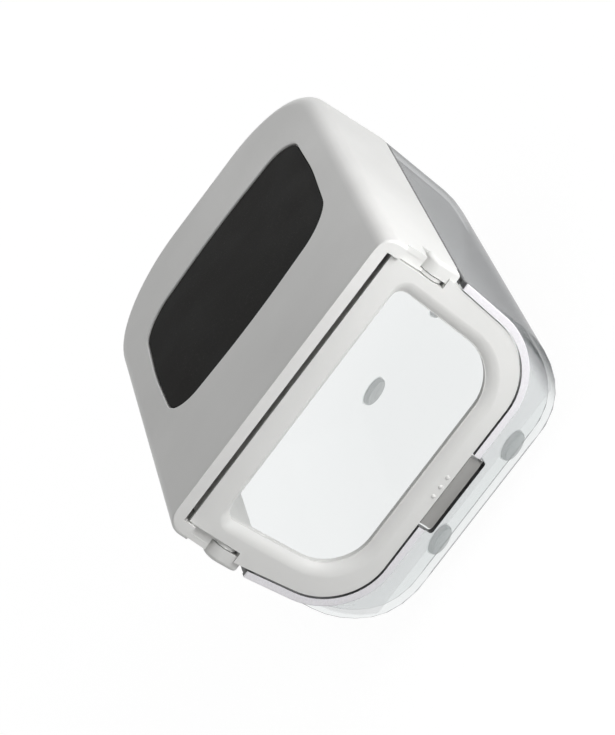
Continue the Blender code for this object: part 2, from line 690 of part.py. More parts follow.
def blade(name, half_length, notches, from_top):
    """A strip of steel along local X, notched to half its height for the strips that cross it."""
    half_notch = BLADE_THICKNESS / 2 + BLADE_SLOT_GAP
    middle = (BLADE_TOP + BLADE_FOOT) / 2
    floor = middle - SEAT_GAP / 2 if from_top else middle + SEAT_GAP / 2
    edge = BLADE_TOP if from_top else BLADE_FOOT
    other = BLADE_FOOT if from_top else BLADE_TOP
    outline = [(-half_length, other), (-half_length, edge)]
    for place in notches:
        outline += [(place - half_notch, edge), (place - half_notch, floor)]
        outline += [(place + half_notch, floor), (place + half_notch, edge)]
    outline += [(half_length, edge), (half_length, other)]
    half = BLADE_THICKNESS / 2
    work = bmesh.new()
    near = [work.verts.new((x, -half, z)) for x, z in outline]
    face = work.faces.new(near)
    grown = bmesh.ops.extrude_face_region(work, geom=[face])
    for vertex in [item for item in grown["geom"] if isinstance(item, bmesh.types.BMVert)]:
        vertex.co.y = half
    every = list(work.verts) + list(work.edges) + list(work.faces)
    bmesh.ops.bisect_plane(work, geom=every, plane_co=(0, 0, BLADE_TOP - BLADE_GRIND), plane_no=(0, 0, 1),
                           dist=1e-7)
    for vertex in work.verts:
        if vertex.co.z > BLADE_TOP - BLADE_GRIND / 4:
            vertex.co.y *= 0.16
    bmesh.ops.recalc_face_normals(work, faces=work.faces)
    return finish(name, work, steel())


def blades():
    """Two sets of half-lapped strips: the long ones notched from below, the cross ones from above."""
    made = []
    long_half = GRID_HALF_Y + WINDOW_MARGIN + BLADE_TANG
    cross_half = GRID_HALF_X + WINDOW_MARGIN + BLADE_TANG
    for number, x in enumerate(long_blade_places(), 1):
        strip = blade(f"long_blade_{number}", long_half, [y - GRID_Y for y in cross_blade_places()], False)
        strip.rotation_euler.z = math.radians(90)
        strip.location = (x, GRID_Y, 0)
        made.append(strip)
    for number, y in enumerate(cross_blade_places(), 1):
        strip = blade(f"cross_blade_{number}", cross_half, long_blade_places(), True)
        strip.location = (0, y, 0)
        made.append(strip)
    return made


def retainer_screw_places():
    x = GRID_HALF_X + WINDOW_MARGIN + BLADE_TANG + (RIB_WIDTH - BLADE_TANG) / 2
    reach = GRID_HALF_Y + WINDOW_MARGIN + RIB_WIDTH / 2
    return [(side * x, GRID_Y + step * reach) for step in (-1, 0, 1) for side in (-1, 1)]


def blade_retainer():
    """Flat ring screwed under the ribs, which keeps the blade ends in their slots."""
    top = BLADE_FOOT - SEAT_GAP
    foot = top - RETAINER
    loops = [rib_loop(0, top), rib_loop(RIB_WIDTH, top), rib_loop(RIB_WIDTH, foot), rib_loop(0, foot)]
    ring = loft("blade_retainer", loops, grey_plastic(), ring=True)
    for x, y in retainer_screw_places():
        bore = SCREW_RADIUS + BORE_GAP
        cut(ring, loft("retainer_bore_tool", [disc(x, y, bore, foot - OVERSHOOT, 12),
                                              disc(x, y, bore, top + OVERSHOOT, 12)], grey_plastic()))
    return ring


def screw(name, x, y, seat):
    """Pan-head screw driven upwards, its head under the seat."""
    head = SCREW_HEAD_RADIUS
    loops = [disc(x, y, head * 0.62, seat - SCREW_HEAD, 10), disc(x, y, head, seat - SCREW_HEAD * 0.55, 10),
             disc(x, y, head, seat, 10), disc(x, y, SCREW_RADIUS, seat, 10),
             disc(x, y, SCREW_RADIUS * 0.7, seat + SCREW_LENGTH, 10)]
    body = loft(name, loops, steel())
    arm = head * 0.55
    slot = SCREW_SLOT / 2
    low = seat - SCREW_HEAD - OVERSHOOT
    high = seat - SCREW_HEAD * 0.5
    cut(body, blocks("drive_tool", [((x - arm, y - slot, low), (x + arm, y + slot, high))]))
    cut(body, blocks("drive_tool", [((x - slot, y - arm, low), (x + slot, y + arm, high))]))
    return body


def retainer_screws():
    seat = BLADE_FOOT - SEAT_GAP - RETAINER - SEAT_GAP
    return [screw(f"retainer_screw_{number}", x, y, seat)
            for number, (x, y) in enumerate(retainer_screw_places(), 1)]


def hinge_pin(name, side):
    """Headed pin pushed in from inside: frame wall, lid tab, then a blind hole in the lug."""
    inner = FRAME_HALF_REAR - WALL - SEAT_GAP
    tip = LUG_INNER + PIN_BITE
    sections = [(inner - PIN_HEAD, PIN_HEAD_RADIUS - PIN_CHAMFER),
                (inner - PIN_HEAD + PIN_CHAMFER, PIN_HEAD_RADIUS), (inner, PIN_HEAD_RADIUS),
                (inner, PIN_RADIUS), (tip - PIN_CHAMFER, PIN_RADIUS), (tip, PIN_RADIUS - PIN_CHAMFER)]
    loops = [sideways(arc(HINGE_Y, HINGE_Z, radius, 0, 345, 23), side * x) for x, radius in sections]
    return loft(name, loops, steel())


def release_tongue():
    """Press tab under the panel's edge, its stem hung on a pin behind the panel."""
    top = PANEL_BOTTOM - SEAT_GAP
    foot = top - TONGUE_FACE
    pin_z = PANEL_BOTTOM + TONGUE_PIN_UP
    pin_y = REAR + TONGUE_PIN_BACK
    face = REAR + PANEL_FRONT + SEAT_GAP
    eye = TONGUE_EYE
    edge = TONGUE_EDGE
    profile = [(face, foot + 2 * edge), (face + edge, foot)]
    profile += [(pin_y - eye, foot), (pin_y - eye * 0.8, foot - TONGUE_NIB)]
    profile += [(pin_y - eye * 0.2, foot - TONGUE_NIB), (pin_y + eye * 0.2, foot + TONGUE_NIB / 2)]
    profile += arc(pin_y, pin_z, eye, -60, 180, 12)
    profile += [(pin_y - eye, top + 2 * edge), (pin_y - eye - edge, top)]
    profile += [(face + edge, top), (face, top - edge), (face + TONGUE_SCOOP, (top + foot) / 2 + 2 * edge)]
    half = TONGUE_HALF
    loops = [sideways(profile, -half), sideways(profile, half)]
    tongue = loft("release_tongue", loops, grey_plastic())
    circle = arc(pin_y, pin_z, TONGUE_PIN_RADIUS + BORE_GAP, 0, 330, 11)
    end = half + OVERSHOOT
    cut(tongue, loft("tongue_bore_tool", [sideways(circle, -end), sideways(circle, end)], grey_plastic()))
    low = (pin_y - 2 * eye - OVERSHOOT, top + SEAT_GAP / 3)
    high = (pin_y + 2 * eye, pin_z + 2 * eye)
    cut(tongue, blocks("stem_trim_tool", [((-end, *low), (-TONGUE_STEM_HALF, *high)),
                                          ((TONGUE_STEM_HALF, *low), (end, *high))]))
    return tongue


def tongue_pin():
    pin_z = PANEL_BOTTOM + TONGUE_PIN_UP
    pin_y = REAR + TONGUE_PIN_BACK
    reach = TONGUE_STEM_HALF + CHEEK
    loops = [sideways(arc(pin_y, pin_z, TONGUE_PIN_RADIUS, 0, 330, 11), x) for x in (-reach, reach)]
    return loft("tongue_pin", loops, steel())


def lid_shell():
    """Roof, soft edge and skirt in one loft, with a rear lip, hinge ears and tabs."""
    radius = LID_EDGE_RADIUS
    loops = []

    def loop(inward, z, rear, corner_rear):
        inward += LID_DRAFT * (z - LID_SKIRT_FOOT) / (LID_TOP - LID_SKIRT_FOOT)
        return plan(HALF_WIDTH_REAR - inward, HALF_WIDTH_FAR - inward, rear, LENGTH - inward,
                    corner_rear, LID_FAR_CORNER - inward, z)

    for step in range(7):
        turn = math.radians(90 * step / 6)
        drop = radius * (1 - math.cos(turn))
        loops.append(loop(radius * (1 - math.sin(turn)), LID_TOP - drop, 0, LID_REAR_CORNER))
    loops.append(loop(0, LID_SKIRT_FOOT + LID_FOOT_EDGE, 0, LID_REAR_CORNER))
    loops.append(loop(LID_FOOT_EDGE, LID_SKIRT_FOOT, 0, LID_REAR_CORNER))
    loops.append(loop(WALL - LID_FOOT_EDGE / 2, LID_SKIRT_FOOT, WALL, LID_REAR_CORNER))
    inner = radius - WALL
    roof = LID_TOP - LID_ROOF
    for step in range(5):
        turn = math.radians(90 * (4 - step) / 4)
        drop = inner * (1 - math.cos(turn))
        loops.append(loop(WALL + inner * (1 - math.sin(turn)), roof - drop, WALL, LID_REAR_CORNER))
    lid = loft("lid_shell", loops, white_plastic())

    wide = HALF_WIDTH_REAR + WALL
    inside = PANEL_HALF_TOP + SEAT_GAP
    low = LID_SKIRT_FOOT - OVERSHOOT
    behind = REAR - OVERSHOOT
    rim = (inside, REAR + WALL + OVERSHOOT, LIP_FOOT)
    cut(lid, blocks("rear_opening_tool", [((-inside, behind, low), rim)]))
    recess = (wide, REAR + EAR_REAR, LID_TOP - EAR_RETURN)
    cut(lid, blocks("ear_recess_tool", [((-wide, behind, low), recess)]))
    cut(lid, blocks("ear_foot_tool", [((-wide, behind, low), (wide, REAR + EAR_FRONT, EAR_FOOT))]))
    rear = REAR + EAR_REAR + SEAT_GAP
    front = REAR + EAR_FRONT + OVERSHOOT
    ear = [(rear, EAR_FOOT), (front, EAR_FOOT), (front, LID_TOP - radius), (rear, LID_TOP - radius)]
    tab = arc(HINGE_Y, HINGE_Z, TAB_RADIUS, -180, 0, 14)
    tab += [(HINGE_Y + TAB_RADIUS, EAR_FOOT + WALL), (rear + SEAT_GAP, EAR_FOOT + WALL),
            (HINGE_Y - TAB_RADIUS + 2 * SEAT_GAP, EAR_FOOT - SLIDE_GAP)]
    circle = arc(HINGE_Y, HINGE_Z, PIN_RADIUS + BORE_GAP, 0, 345, 23)
    for side in (-1, 1):
        outer = HALF_WIDTH_REAR - LID_DRAFT - WALL / 2
        ear_ends = (inside, outer)
        add(lid, loft("ear_tool", [sideways(ear, side * x) for x in ear_ends], white_plastic()))
        tab_ends = (inside + SEAT_GAP / 6, inside + TAB_THICKNESS)
        add(lid, loft("tab_tool", [sideways(tab, side * x) for x in tab_ends], white_plastic()))
        bore_ends = (inside - OVERSHOOT, inside + TAB_THICKNESS + OVERSHOOT)
        cut(lid, loft("tab_bore_tool", [sideways(circle, side * x) for x in bore_ends], white_plastic()))
    boss_foot = roof - BOSS_HEIGHT
    bore = SCREW_RADIUS + BORE_GAP
    bore_top = boss_foot - SEAT_GAP - PUSHER_PLATE + SCREW_LENGTH
    for x, y in pusher_screw_places():
        post = [disc(x, y, BOSS_RADIUS, boss_foot, 16), disc(x, y, BOSS_RADIUS, roof + OVERSHOOT, 16)]
        add(lid, loft("boss_tool", post, white_plastic()))
        hole = [disc(x, y, bore, boss_foot - OVERSHOOT, 12), disc(x, y, bore, bore_top, 12)]
        cut(lid, loft("boss_bore_tool", hole, white_plastic()))
    well = pad_outline(PAD_GAP)
    levels = (LID_TOP - PAD_DEPTH - SEAT_GAP, LID_TOP + OVERSHOOT)
    cut(lid, loft("pad_well_tool", [[(x, y, z) for x, y in well] for z in levels], white_plastic()))
    return lid


def pad_outline(grow):
    """The pad's plan: a rectangle with bowed sides and generous corners, computed from a few arcs."""
    half_x = PAD_HALF_WIDTH + grow
    half_y = PAD_HALF_LENGTH + grow
    corner_x = half_x - PAD_SIDE_BOW
    corner_y = half_y - PAD_END_BOW
    corners = [(corner_x, -corner_y), (half_x, 0), (corner_x, corner_y), (0, half_y)]
    corners += [(-corner_x, corner_y), (-half_x, 0), (-corner_x, -corner_y), (0, -half_y)]
    radii = [PAD_CORNER, PAD_BOW_RADIUS] * 4
    return [(point.x, REAR + PAD_BACK + point.y) for point in rounded(corners, radii, 6)]


def grip_pad():
    """Soft pad bonded in a shallow well of the lid, its edge rounded and its top slightly crowned."""
    shoulder = LID_TOP - PAD_CROWN
    middle_y = REAR + PAD_BACK
    loops = [[(x, y, LID_TOP - PAD_DEPTH) for x, y in pad_outline(0)],
             [(x, y, shoulder - PAD_EDGE) for x, y in pad_outline(0)]]
    for share in (1.0, 0.84, 0.60, 0.30):
        z = shoulder + PAD_CROWN * (1 - share * share)
        loops.append([(x * share, middle_y + (y - middle_y) * share, z) for x, y in pad_outline(-PAD_EDGE)])
    return loft("grip_pad", loops, soft_black())


def pusher_screw_places():
    x = GRID_HALF_X + PUSHER_SCREW_OUT
    y = GRID_HALF_Y + PUSHER_SCREW_OUT
    return [(side * x, GRID_Y + end * y) for end in (-1, 1) for side in (-1, 1)]


def pusher_plate():
    """Plate of pegs: each peg enters one cell of the blade grid."""
    top = LID_TOP - LID_ROOF - BOSS_HEIGHT - SEAT_GAP
    under = top - PUSHER_PLATE
    tip = BLADE_TOP - PEG_BITE
    half_x = GRID_HALF_X + PUSHER_BORDER
    half_y = GRID_HALF_Y + PUSHER_BORDER
    corners = [(half_x, -half_y), (half_x, half_y), (-half_x, half_y), (-half_x, -half_y)]
    outline = rounded(corners, [PUSHER_CORNER] * 4, 4)
    levels = [[(point.x, GRID_Y + point.y, z) for point in outline] for z in (under, top)]
    plate = loft("pusher_plate", levels, grey_plastic())
    vertices = []
    faces = []
    for column in range(COLUMNS):
        for row in range(ROWS):
            x = BLADE_PITCH * (column + 0.5 - COLUMNS / 2)
            y = GRID_Y + BLADE_PITCH * (row + 0.5 - ROWS / 2)
            start = len(vertices)
            levels = ((PEG_ROOT / 2, under + OVERSHOOT), (PEG_TIP / 2, tip + PEG_CHAMFER),
                      (PEG_TIP / 2 - PEG_CHAMFER, tip))
            for half, z in levels:
                vertices += [(x + half, y + half, z), (x - half, y + half, z)]
                vertices += [(x - half, y - half, z), (x + half, y - half, z)]
            for level in range(len(levels) - 1):
                here = start + 4 * level
                for index in range(4):
                    following = (index + 1) % 4
                    faces.append((here + index, here + following, here + 4 + following, here + 4 + index))
            faces.append(tuple(start + index for index in range(4)))
            faces.append(tuple(start + 8 + index for index in range(4)))
    add(plate, shape("peg_tool", vertices, faces, grey_plastic()))
    bore = SCREW_RADIUS + BORE_GAP
    for x, y in pusher_screw_places():
        hole = [disc(x, y, bore, under - OVERSHOOT, 12), disc(x, y, bore, top + OVERSHOOT, 12)]
        cut(plate, loft("plate_bore_tool", hole, grey_plastic()))
    return plate


def pusher_screws():
    seat = LID_TOP - LID_ROOF - BOSS_HEIGHT - SEAT_GAP - PUSHER_PLATE - SEAT_GAP
    return [screw(f"pusher_screw_{number}", x, y, seat)
            for number, (x, y) in enumerate(pusher_screw_places(), 1)]


def group(name, place, members):
    """An empty on the body's own joint axis, which carries its pieces."""
    empty = bpy.data.objects.new(name, None)
    empty.location = place
    bpy.context.collection.objects.link(empty)
    bpy.context.view_layer.update()
    for member in members:
        member.parent = empty
        member.matrix_parent_inverse = empty.matrix_world.inverted()
    return empty


for old in list(bpy.data.objects):
    bpy.data.objects.remove(old, do_unlink=True)

group("container_group", (0, 0, 0), [container(), *feet()])
group("cutting_top_group", (0, 0, CONTAINER_RIM),
      [cutting_frame(), pour_panel(), blade_retainer(), *blades(), *retainer_screws(),
       hinge_pin("hinge_pin_left", -1), hinge_pin("hinge_pin_right", 1), tongue_pin()])
group("tongue_group", (0, REAR + TONGUE_PIN_BACK, PANEL_BOTTOM + TONGUE_PIN_UP), [release_tongue()])
group("lid_group", (0, HINGE_Y, HINGE_Z), [lid_shell(), grip_pad(), pusher_plate(), *pusher_screws()])
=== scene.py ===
import math

import bmesh
import bpy
from mathutils import Matrix, Vector


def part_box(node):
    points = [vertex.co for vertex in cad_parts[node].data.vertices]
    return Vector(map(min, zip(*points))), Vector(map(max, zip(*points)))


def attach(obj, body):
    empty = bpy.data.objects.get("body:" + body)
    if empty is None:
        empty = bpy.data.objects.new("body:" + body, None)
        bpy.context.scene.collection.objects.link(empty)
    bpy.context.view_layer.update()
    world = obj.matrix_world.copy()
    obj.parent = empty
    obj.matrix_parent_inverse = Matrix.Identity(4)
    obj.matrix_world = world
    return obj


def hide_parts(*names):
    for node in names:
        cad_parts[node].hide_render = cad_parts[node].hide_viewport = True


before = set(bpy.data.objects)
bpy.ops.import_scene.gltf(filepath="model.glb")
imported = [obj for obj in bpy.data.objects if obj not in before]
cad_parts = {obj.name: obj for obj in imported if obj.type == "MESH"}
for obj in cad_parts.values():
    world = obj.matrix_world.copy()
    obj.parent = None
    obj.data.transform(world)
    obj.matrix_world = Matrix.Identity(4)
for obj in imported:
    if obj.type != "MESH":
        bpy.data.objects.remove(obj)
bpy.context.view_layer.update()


# The container: a clear tub moulded in one shot of SAN, with wide rounded feet to its walls, a ledge inside its
# rim that the cutting frame sits on, and a raised collar round the notch that the pour panel closes. SAN is
# hard and bright, so the skin is polished, and the collar alone is left frosted by the tool.

def ink(code):
    """A colour written as sRGB hex, turned to the linear values that a shader takes."""
    parts = [int(code[place:place + 2], 16) / 255 for place in (1, 3, 5)]
    return (*[part / 12.92 if part <= 0.04045 else ((part + 0.055) / 1.055) ** 2.4 for part in parts], 1.0)


def add_node(tree, kind, sockets=None, **options):
    """Add one node to a tree with its options, and give its sockets values or links from other nodes."""
    made = tree.nodes.new("ShaderNode" + kind)
    for name, value in options.items():
        setattr(made, name, value)
    for name, value in (sockets or {}).items():
        if isinstance(value, bpy.types.NodeSocket):
            tree.links.new(value, made.inputs[name])
        else:
            made.inputs[name].default_value = value
    return made


def rest_hands():
    """Leave edit mode and select nothing, so that an operator acts only on the piece that comes next."""
    if bpy.context.mode != "OBJECT":
        bpy.ops.object.mode_set(mode="OBJECT")
    bpy.ops.object.select_all(action="DESELECT")


def take(piece, mode="EDIT"):
    """Take one piece in hand: the only one selected, and open for editing unless told otherwise."""
    rest_hands()
    bpy.context.view_layer.objects.active = piece
    piece.select_set(True)
    bpy.ops.object.mode_set(mode=mode)


def pick(kind, test):
    """Select the vertices, edges or faces of the piece in hand that pass a test."""
    bpy.context.tool_settings.mesh_select_mode = (kind == "VERT", kind == "EDGE", kind == "FACE")
    shape = bmesh.from_edit_mesh(bpy.context.edit_object.data)
    items = {"VERT": shape.verts, "EDGE": shape.edges, "FACE": shape.faces}[kind]
    chosen = [item for item in items if test(item)]
    for group in (shape.verts, shape.edges, shape.faces):
        for item in group:
            item.select = False
    for item in chosen:
        item.select_set(True)
    shape.select_mode = {kind}
    shape.select_flush_mode()
    bmesh.update_edit_mesh(bpy.context.edit_object.data)


def middle(item):
    """The middle of an edge or a face."""
    return sum((corner.co for corner in item.verts), Vector()) / len(item.verts)


def new_piece(name):
    """An empty mesh at the origin, open for editing, to lay levels in."""
    rest_hands()
    bpy.ops.mesh.primitive_plane_add(size=0.01, location=(0, 0, 0))
    piece = bpy.context.object
    piece.name = name
    piece.data.name = name
    bpy.ops.object.mode_set(mode="EDIT")
    bpy.ops.mesh.delete(type="VERT")
    bmesh.from_edit_mesh(piece.data).verts.layers.int.new("level")
    return piece


def level_layer():
    """The layer that says which level a corner belongs to. Operators renew it, so it is asked for each time."""
    return bmesh.from_edit_mesh(bpy.context.edit_object.data).verts.layers.int["level"]


def add_level(number, z, half_rear, half_far, rear, far, round_rear, round_far, steps=(4, 16)):
    """Lay one level of a piece: a plate tapered towards the far end, with its corners rounded off."""
    halfway = (rear + far) / 2
    bpy.ops.mesh.primitive_plane_add(size=1, location=(0, halfway, z))
    bpy.ops.transform.resize(value=(2 * half_rear, far - rear, 1), center_override=(0, halfway, z))
    layer = level_layer()
    pick("VERT", lambda corner: corner[layer] == 0 and corner.co.y > halfway)
    bpy.ops.transform.resize(value=(half_far / half_rear, 1, 1), center_override=(0, far, z))
    bpy.ops.mesh.bevel(offset=round_far, segments=steps[1], affect="VERTICES", clamp_overlap=False)
    layer = level_layer()
    pick("VERT", lambda corner: corner[layer] == 0 and corner.co.y < rear + 0.00001)
    bpy.ops.mesh.bevel(offset=round_rear, segments=steps[0], affect="VERTICES", clamp_overlap=False)
    layer = level_layer()
    for corner in bmesh.from_edit_mesh(bpy.context.edit_object.data).verts:
        if corner[layer] == 0:
            corner[layer] = number


def pick_levels(*numbers):
    """Select the outlines of some levels of the piece in hand."""
    layer = level_layer()
    pick("EDGE", lambda edge: edge.verts[0][layer] == edge.verts[1][layer] and edge.verts[0][layer] in numbers)


def skin_levels(pairs):
    """Drop the plates that the levels were laid as, and skin each pair of their outlines."""
    pick("FACE", lambda face: True)
    bpy.ops.mesh.delete(type="ONLY_FACE")
    for pair in pairs:
        pick_levels(*pair)
        bpy.ops.mesh.bridge_edge_loops()


def face_outwards():
    """Turn all faces of the piece in hand outwards, and put it down."""
    pick("FACE", lambda face: True)
    bpy.ops.mesh.normals_make_consistent(inside=False)
    rest_hands()


def close_levels(count):
    """Skin the levels one after another, and cap the first and the last."""
    skin_levels([(number, number + 1) for number in range(1, count)])
    for number in (1, count):
        pick_levels(number)
        bpy.ops.mesh.edge_face_add()
    face_outwards()


def block(low, high):
    """A squared-off block between two corners, to be cut to shape."""
    rest_hands()
    centre = (Vector(low) + Vector(high)) / 2
    bpy.ops.mesh.primitive_cube_add(size=1, location=centre, scale=Vector(high) - Vector(low))
    bpy.ops.object.transform_apply(location=True, rotation=True, scale=True)
    return bpy.context.object


def rod(centre, radius, length, along, steps=32):
    """A round bar along X or Z, to be cut or joined."""
    rest_hands()
    turn = {"X": (0, math.pi / 2, 0), "Z": (0, 0, 0)}[along]
    bpy.ops.mesh.primitive_cylinder_add(vertices=steps, radius=radius, depth=length, location=centre, rotation=turn)
    bpy.ops.object.transform_apply(location=True, rotation=True, scale=True)
    return bpy.context.object


def join_or_cut(piece, tool, operation="DIFFERENCE"):
    """Join a tool to a piece or cut it out, for good, and put the tool away."""
    take(piece, "OBJECT")
    modifier = piece.modifiers.new("tool", "BOOLEAN")
    modifier.operation = operation
    modifier.solver = "EXACT"
    modifier.object = tool
    bpy.ops.object.modifier_apply(modifier="tool")
    bpy.data.objects.remove(tool, do_unlink=True)


def soften(piece, width=0.0, steps=2, angle=40):
    """Round every crisp edge by a width, as a moulding tool does, or leave them as they are without one. Then merge
    what is too small to be seen, and shade the curved skins smooth and the flats flat."""
    take(piece, "OBJECT")
    if width:
        modifier = piece.modifiers.new("edges", "BEVEL")
        modifier.width = width
        modifier.segments = steps
        modifier.limit_method = "ANGLE"
        modifier.angle_limit = math.radians(angle)
        modifier.miter_outer = "MITER_ARC"
        bpy.ops.object.modifier_apply(modifier="edges")
    bpy.ops.object.mode_set(mode="EDIT")
    bpy.ops.mesh.select_all(action="SELECT")
    bpy.ops.mesh.dissolve_degenerate(threshold=0.000002)
    bpy.ops.object.mode_set(mode="OBJECT")
    bpy.ops.object.shade_smooth_by_angle(angle=math.radians(35))
    modifier = piece.modifiers.new("even_flats", "WEIGHTED_NORMAL")
    modifier.keep_sharp = True
    bpy.ops.object.modifier_apply(modifier="even_flats")
    for layer in [item for item in piece.data.attributes if item.name == "level"]:
        piece.data.attributes.remove(layer)


def coat(piece, *finishes):
    """Give a piece its materials in place of any that it has."""
    piece.data.materials.clear()
    for finish in finishes:
        piece.data.materials.append(finish)


def u_block(top, half_top, foot, half_foot, foot_round, near, deep, steps=20):
    """A block like a pocket flap: tapered down to a foot with two large round corners."""
    piece = block((-half_top, near, foot), (half_top, deep, top))
    take(piece)
    pick("VERT", lambda corner: corner.co.z < (foot + top) / 2)
    bpy.ops.transform.resize(value=(half_foot / half_top, 1, 1), center_override=(0, near, foot))
    pick("EDGE", lambda edge: middle(edge).z < foot + 0.0001 and abs(middle(edge).x) > half_foot - 0.0001)
    lean = math.atan2(half_top - half_foot, top - foot)
    bpy.ops.mesh.bevel(offset=foot_round / math.tan(math.pi / 4 + lean / 2), segments=steps, clamp_overlap=False)
    rest_hands()
    return piece


container_rim, container_foot, container_lean = 0.0675, 0.0015, 0.08
rim_half_rear, rim_half_far, container_rear, container_far = 0.0723, 0.0695, -0.1105, 0.1122
rear_corner, far_corner, least_rear_corner, least_far_corner = 0.004, 0.049, 0.0015, 0.006
side_round, rear_round, far_round = 0.034, 0.013, 0.018
side_wall, rear_wall = 0.0024, 0.0040
ledge_width, ledge_drop = 0.0047, 0.0045
tighter_inside = 0.001


def drawn_in(radius, height):
    """How far a wall is drawn in by the round at its foot, at a height over the foot."""
    short = max(radius - height, 0)
    return radius - math.sqrt(radius * radius - short * short)


def tub_level(number, z, inward, rear_inward, far_inward, tighter):
    """One level of the tub. Its walls lean in towards the foot, and each is drawn in further by its own amount."""
    lean = container_lean * (container_rim - z)
    add_level(number, z, rim_half_rear - lean - inward, rim_half_far - lean - inward, container_rear + rear_inward,
              container_far - lean - far_inward, max(rear_corner - tighter, least_rear_corner),
              max(far_corner - inward, least_far_corner))


tub = new_piece("container_tub")
levels = 0
for turn in range(0, 91, 10):
    levels += 1
    height = side_round * (1 - math.cos(math.radians(turn)))
    tub_level(levels, container_foot + height, drawn_in(side_round, height), drawn_in(rear_round, height),
              drawn_in(far_round, height), 0)
for drop, inward in ((0.0006, 0), (0.0002, 0.0002), (0.00003, 0.0006), (0, ledge_width - 0.0003)):
    levels += 1
    tub_level(levels, container_rim - drop, inward, inward if inward < 0.001 else rear_wall - 0.0003, inward, 0)
for drop, inward in ((0.0003, ledge_width), (ledge_drop, ledge_width - 0.0004)):
    levels += 1
    tub_level(levels, container_rim - drop, inward, rear_wall, inward, tighter_inside)
levels += 1
tub_level(levels, container_rim - ledge_drop - ledge_width + side_wall, side_wall, rear_wall, side_wall,
          tighter_inside)
inside_round = side_round - side_wall
for turn in range(90, -1, -10):
    levels += 1
    height = inside_round * (1 - math.cos(math.radians(turn)))
    tub_level(levels, container_foot + side_wall + height, side_wall + drawn_in(inside_round, height),
              rear_wall + drawn_in(rear_round - side_wall, height),
              side_wall + drawn_in(far_round - side_wall, height), tighter_inside)
close_levels(levels)

collar = u_block(top=container_rim - 0.0002, half_top=0.07263, foot=0.01915, half_foot=0.06682,
                 foot_round=0.03065, near=-0.1113, deep=-0.1075)
soften(collar, width=0.0005, steps=3, angle=50)
join_or_cut(tub, collar, "UNION")
notch = u_block(top=0.0875, half_top=0.07223, foot=0.02215, half_foot=0.06382, foot_round=0.02765,
                near=-0.1135, deep=-0.1045)
join_or_cut(tub, notch)
finger_gap = u_block(top=0.0238, half_top=0.0178, foot=0.0158, half_foot=0.0178, foot_round=0.0013,
                     near=-0.1135, deep=-0.1045, steps=5)
join_or_cut(tub, finger_gap)
well_radius, well_depth = 0.0068, 0.0026
for y in (-0.085, 0.0766):
    for x in (-0.0239, 0.0239):
        join_or_cut(tub, rod((x, y, well_depth / 2), well_radius, well_depth, "Z", steps=40))
soften(tub, width=0.00022, angle=50)


def clear_san():
    """Styrene acrylonitrile, moulded and polished. The wall is thin and lets nearly all light through, and mirrors
    more at a glance. Where it is seen edge on it is painted grey: painted shade, taken from the angle it is seen at,
    for the dark look of a clear wall seen along its thickness. Only the collar is frosted, by its place on Y, with a
    fine speckle that is drawn 0.5 mm wide, coarser than the real 0.1 mm. Hairline scratches take some of its polish."""
    material = bpy.data.materials.new("clear_moulded_san")
    material.use_nodes = True
    tree = material.node_tree
    tree.nodes.clear()
    place = add_node(tree, "TexCoord").outputs["Object"]
    flow = add_node(tree, "TexNoise", {"Vector": place, "Scale": 28.0, "Detail": 2.0})
    speckle = add_node(tree, "TexNoise", {"Vector": place, "Scale": 2000.0, "Detail": 2.0})
    stretch = add_node(tree, "Mapping", {"Vector": place, "Scale": (60.0, 900.0, 900.0)})
    rubbed = add_node(tree, "TexNoise", {"Vector": stretch.outputs[0], "Scale": 1.0, "Detail": 3.0})
    back = add_node(tree, "SeparateXYZ", {0: place}).outputs["Y"]
    frost = add_node(tree, "MapRange", {"Value": back, 1: -0.1109, 2: -0.1103, 3: 1.0, 4: 0.0})
    gloss = add_node(tree, "MapRange", {"Value": rubbed.outputs[0], 1: 0.52, 2: 0.75, 3: 0.03, 4: 0.12})
    rough = add_node(tree, "Mix", {0: frost.outputs[0], 2: gloss.outputs[0], 3: 0.42})
    ripple = add_node(tree, "Bump", {"Height": flow.outputs[0], "Strength": 0.25, "Distance": 0.0004})
    grain = add_node(tree, "Bump", {"Height": speckle.outputs[0], "Strength": 0.3, "Distance": 0.00006,
                                    "Normal": ripple.outputs[0]})
    # Painted shade by the facing angle: the more the wall is seen edge on, the more grey skin is mixed in.
    glance = add_node(tree, "LayerWeight", {"Blend": 0.5}).outputs["Facing"]
    edge = add_node(tree, "MapRange", {"Value": glance, 1: 0.73, 2: 0.98, 3: 0.0, 4: 1.0},
                    interpolation_type="SMOOTHSTEP")
    painted_glance_grey = add_node(tree, "MapRange", {"Value": edge.outputs[0], 1: 0.0, 2: 1.0, 3: 0.04, 4: 0.60})
    cloud = add_node(tree, "MapRange", {"Value": speckle.outputs[0], 1: 0.35, 2: 0.65, 3: 0.90, 4: 1.0})
    solid = add_node(tree, "Mix", {0: frost.outputs[0], 2: painted_glance_grey.outputs[0], 3: cloud.outputs[0]})
    # Outside the collar the skin is grey (#B4B6B8), and the light through the wall turns dark grey (#6E6F71) where it
    # is seen edge on. Both are painted shade for the dark look of a clear wall seen along its thickness.
    tone = add_node(tree, "Mix", {0: frost.outputs[0], 6: ink("#B4B6B8"), 7: ink("#F6F4F8")}, data_type="RGBA")
    tint = add_node(tree, "Mix", {0: edge.outputs[0], 6: ink("#FBFCFC"), 7: ink("#6E6F71")}, data_type="RGBA")
    skin = add_node(tree, "BsdfPrincipled", {
        "Base Color": tone.outputs[2], "Roughness": rough.outputs[0], "IOR": 1.57, "Normal": grain.outputs[0]})
    through = add_node(tree, "BsdfTransparent", {"Color": tint.outputs[2]})
    wall = add_node(tree, "MixShader", {0: solid.outputs[0], 1: through.outputs[0], 2: skin.outputs[0]})
    add_node(tree, "OutputMaterial", {"Surface": wall.outputs[0]})
    return material


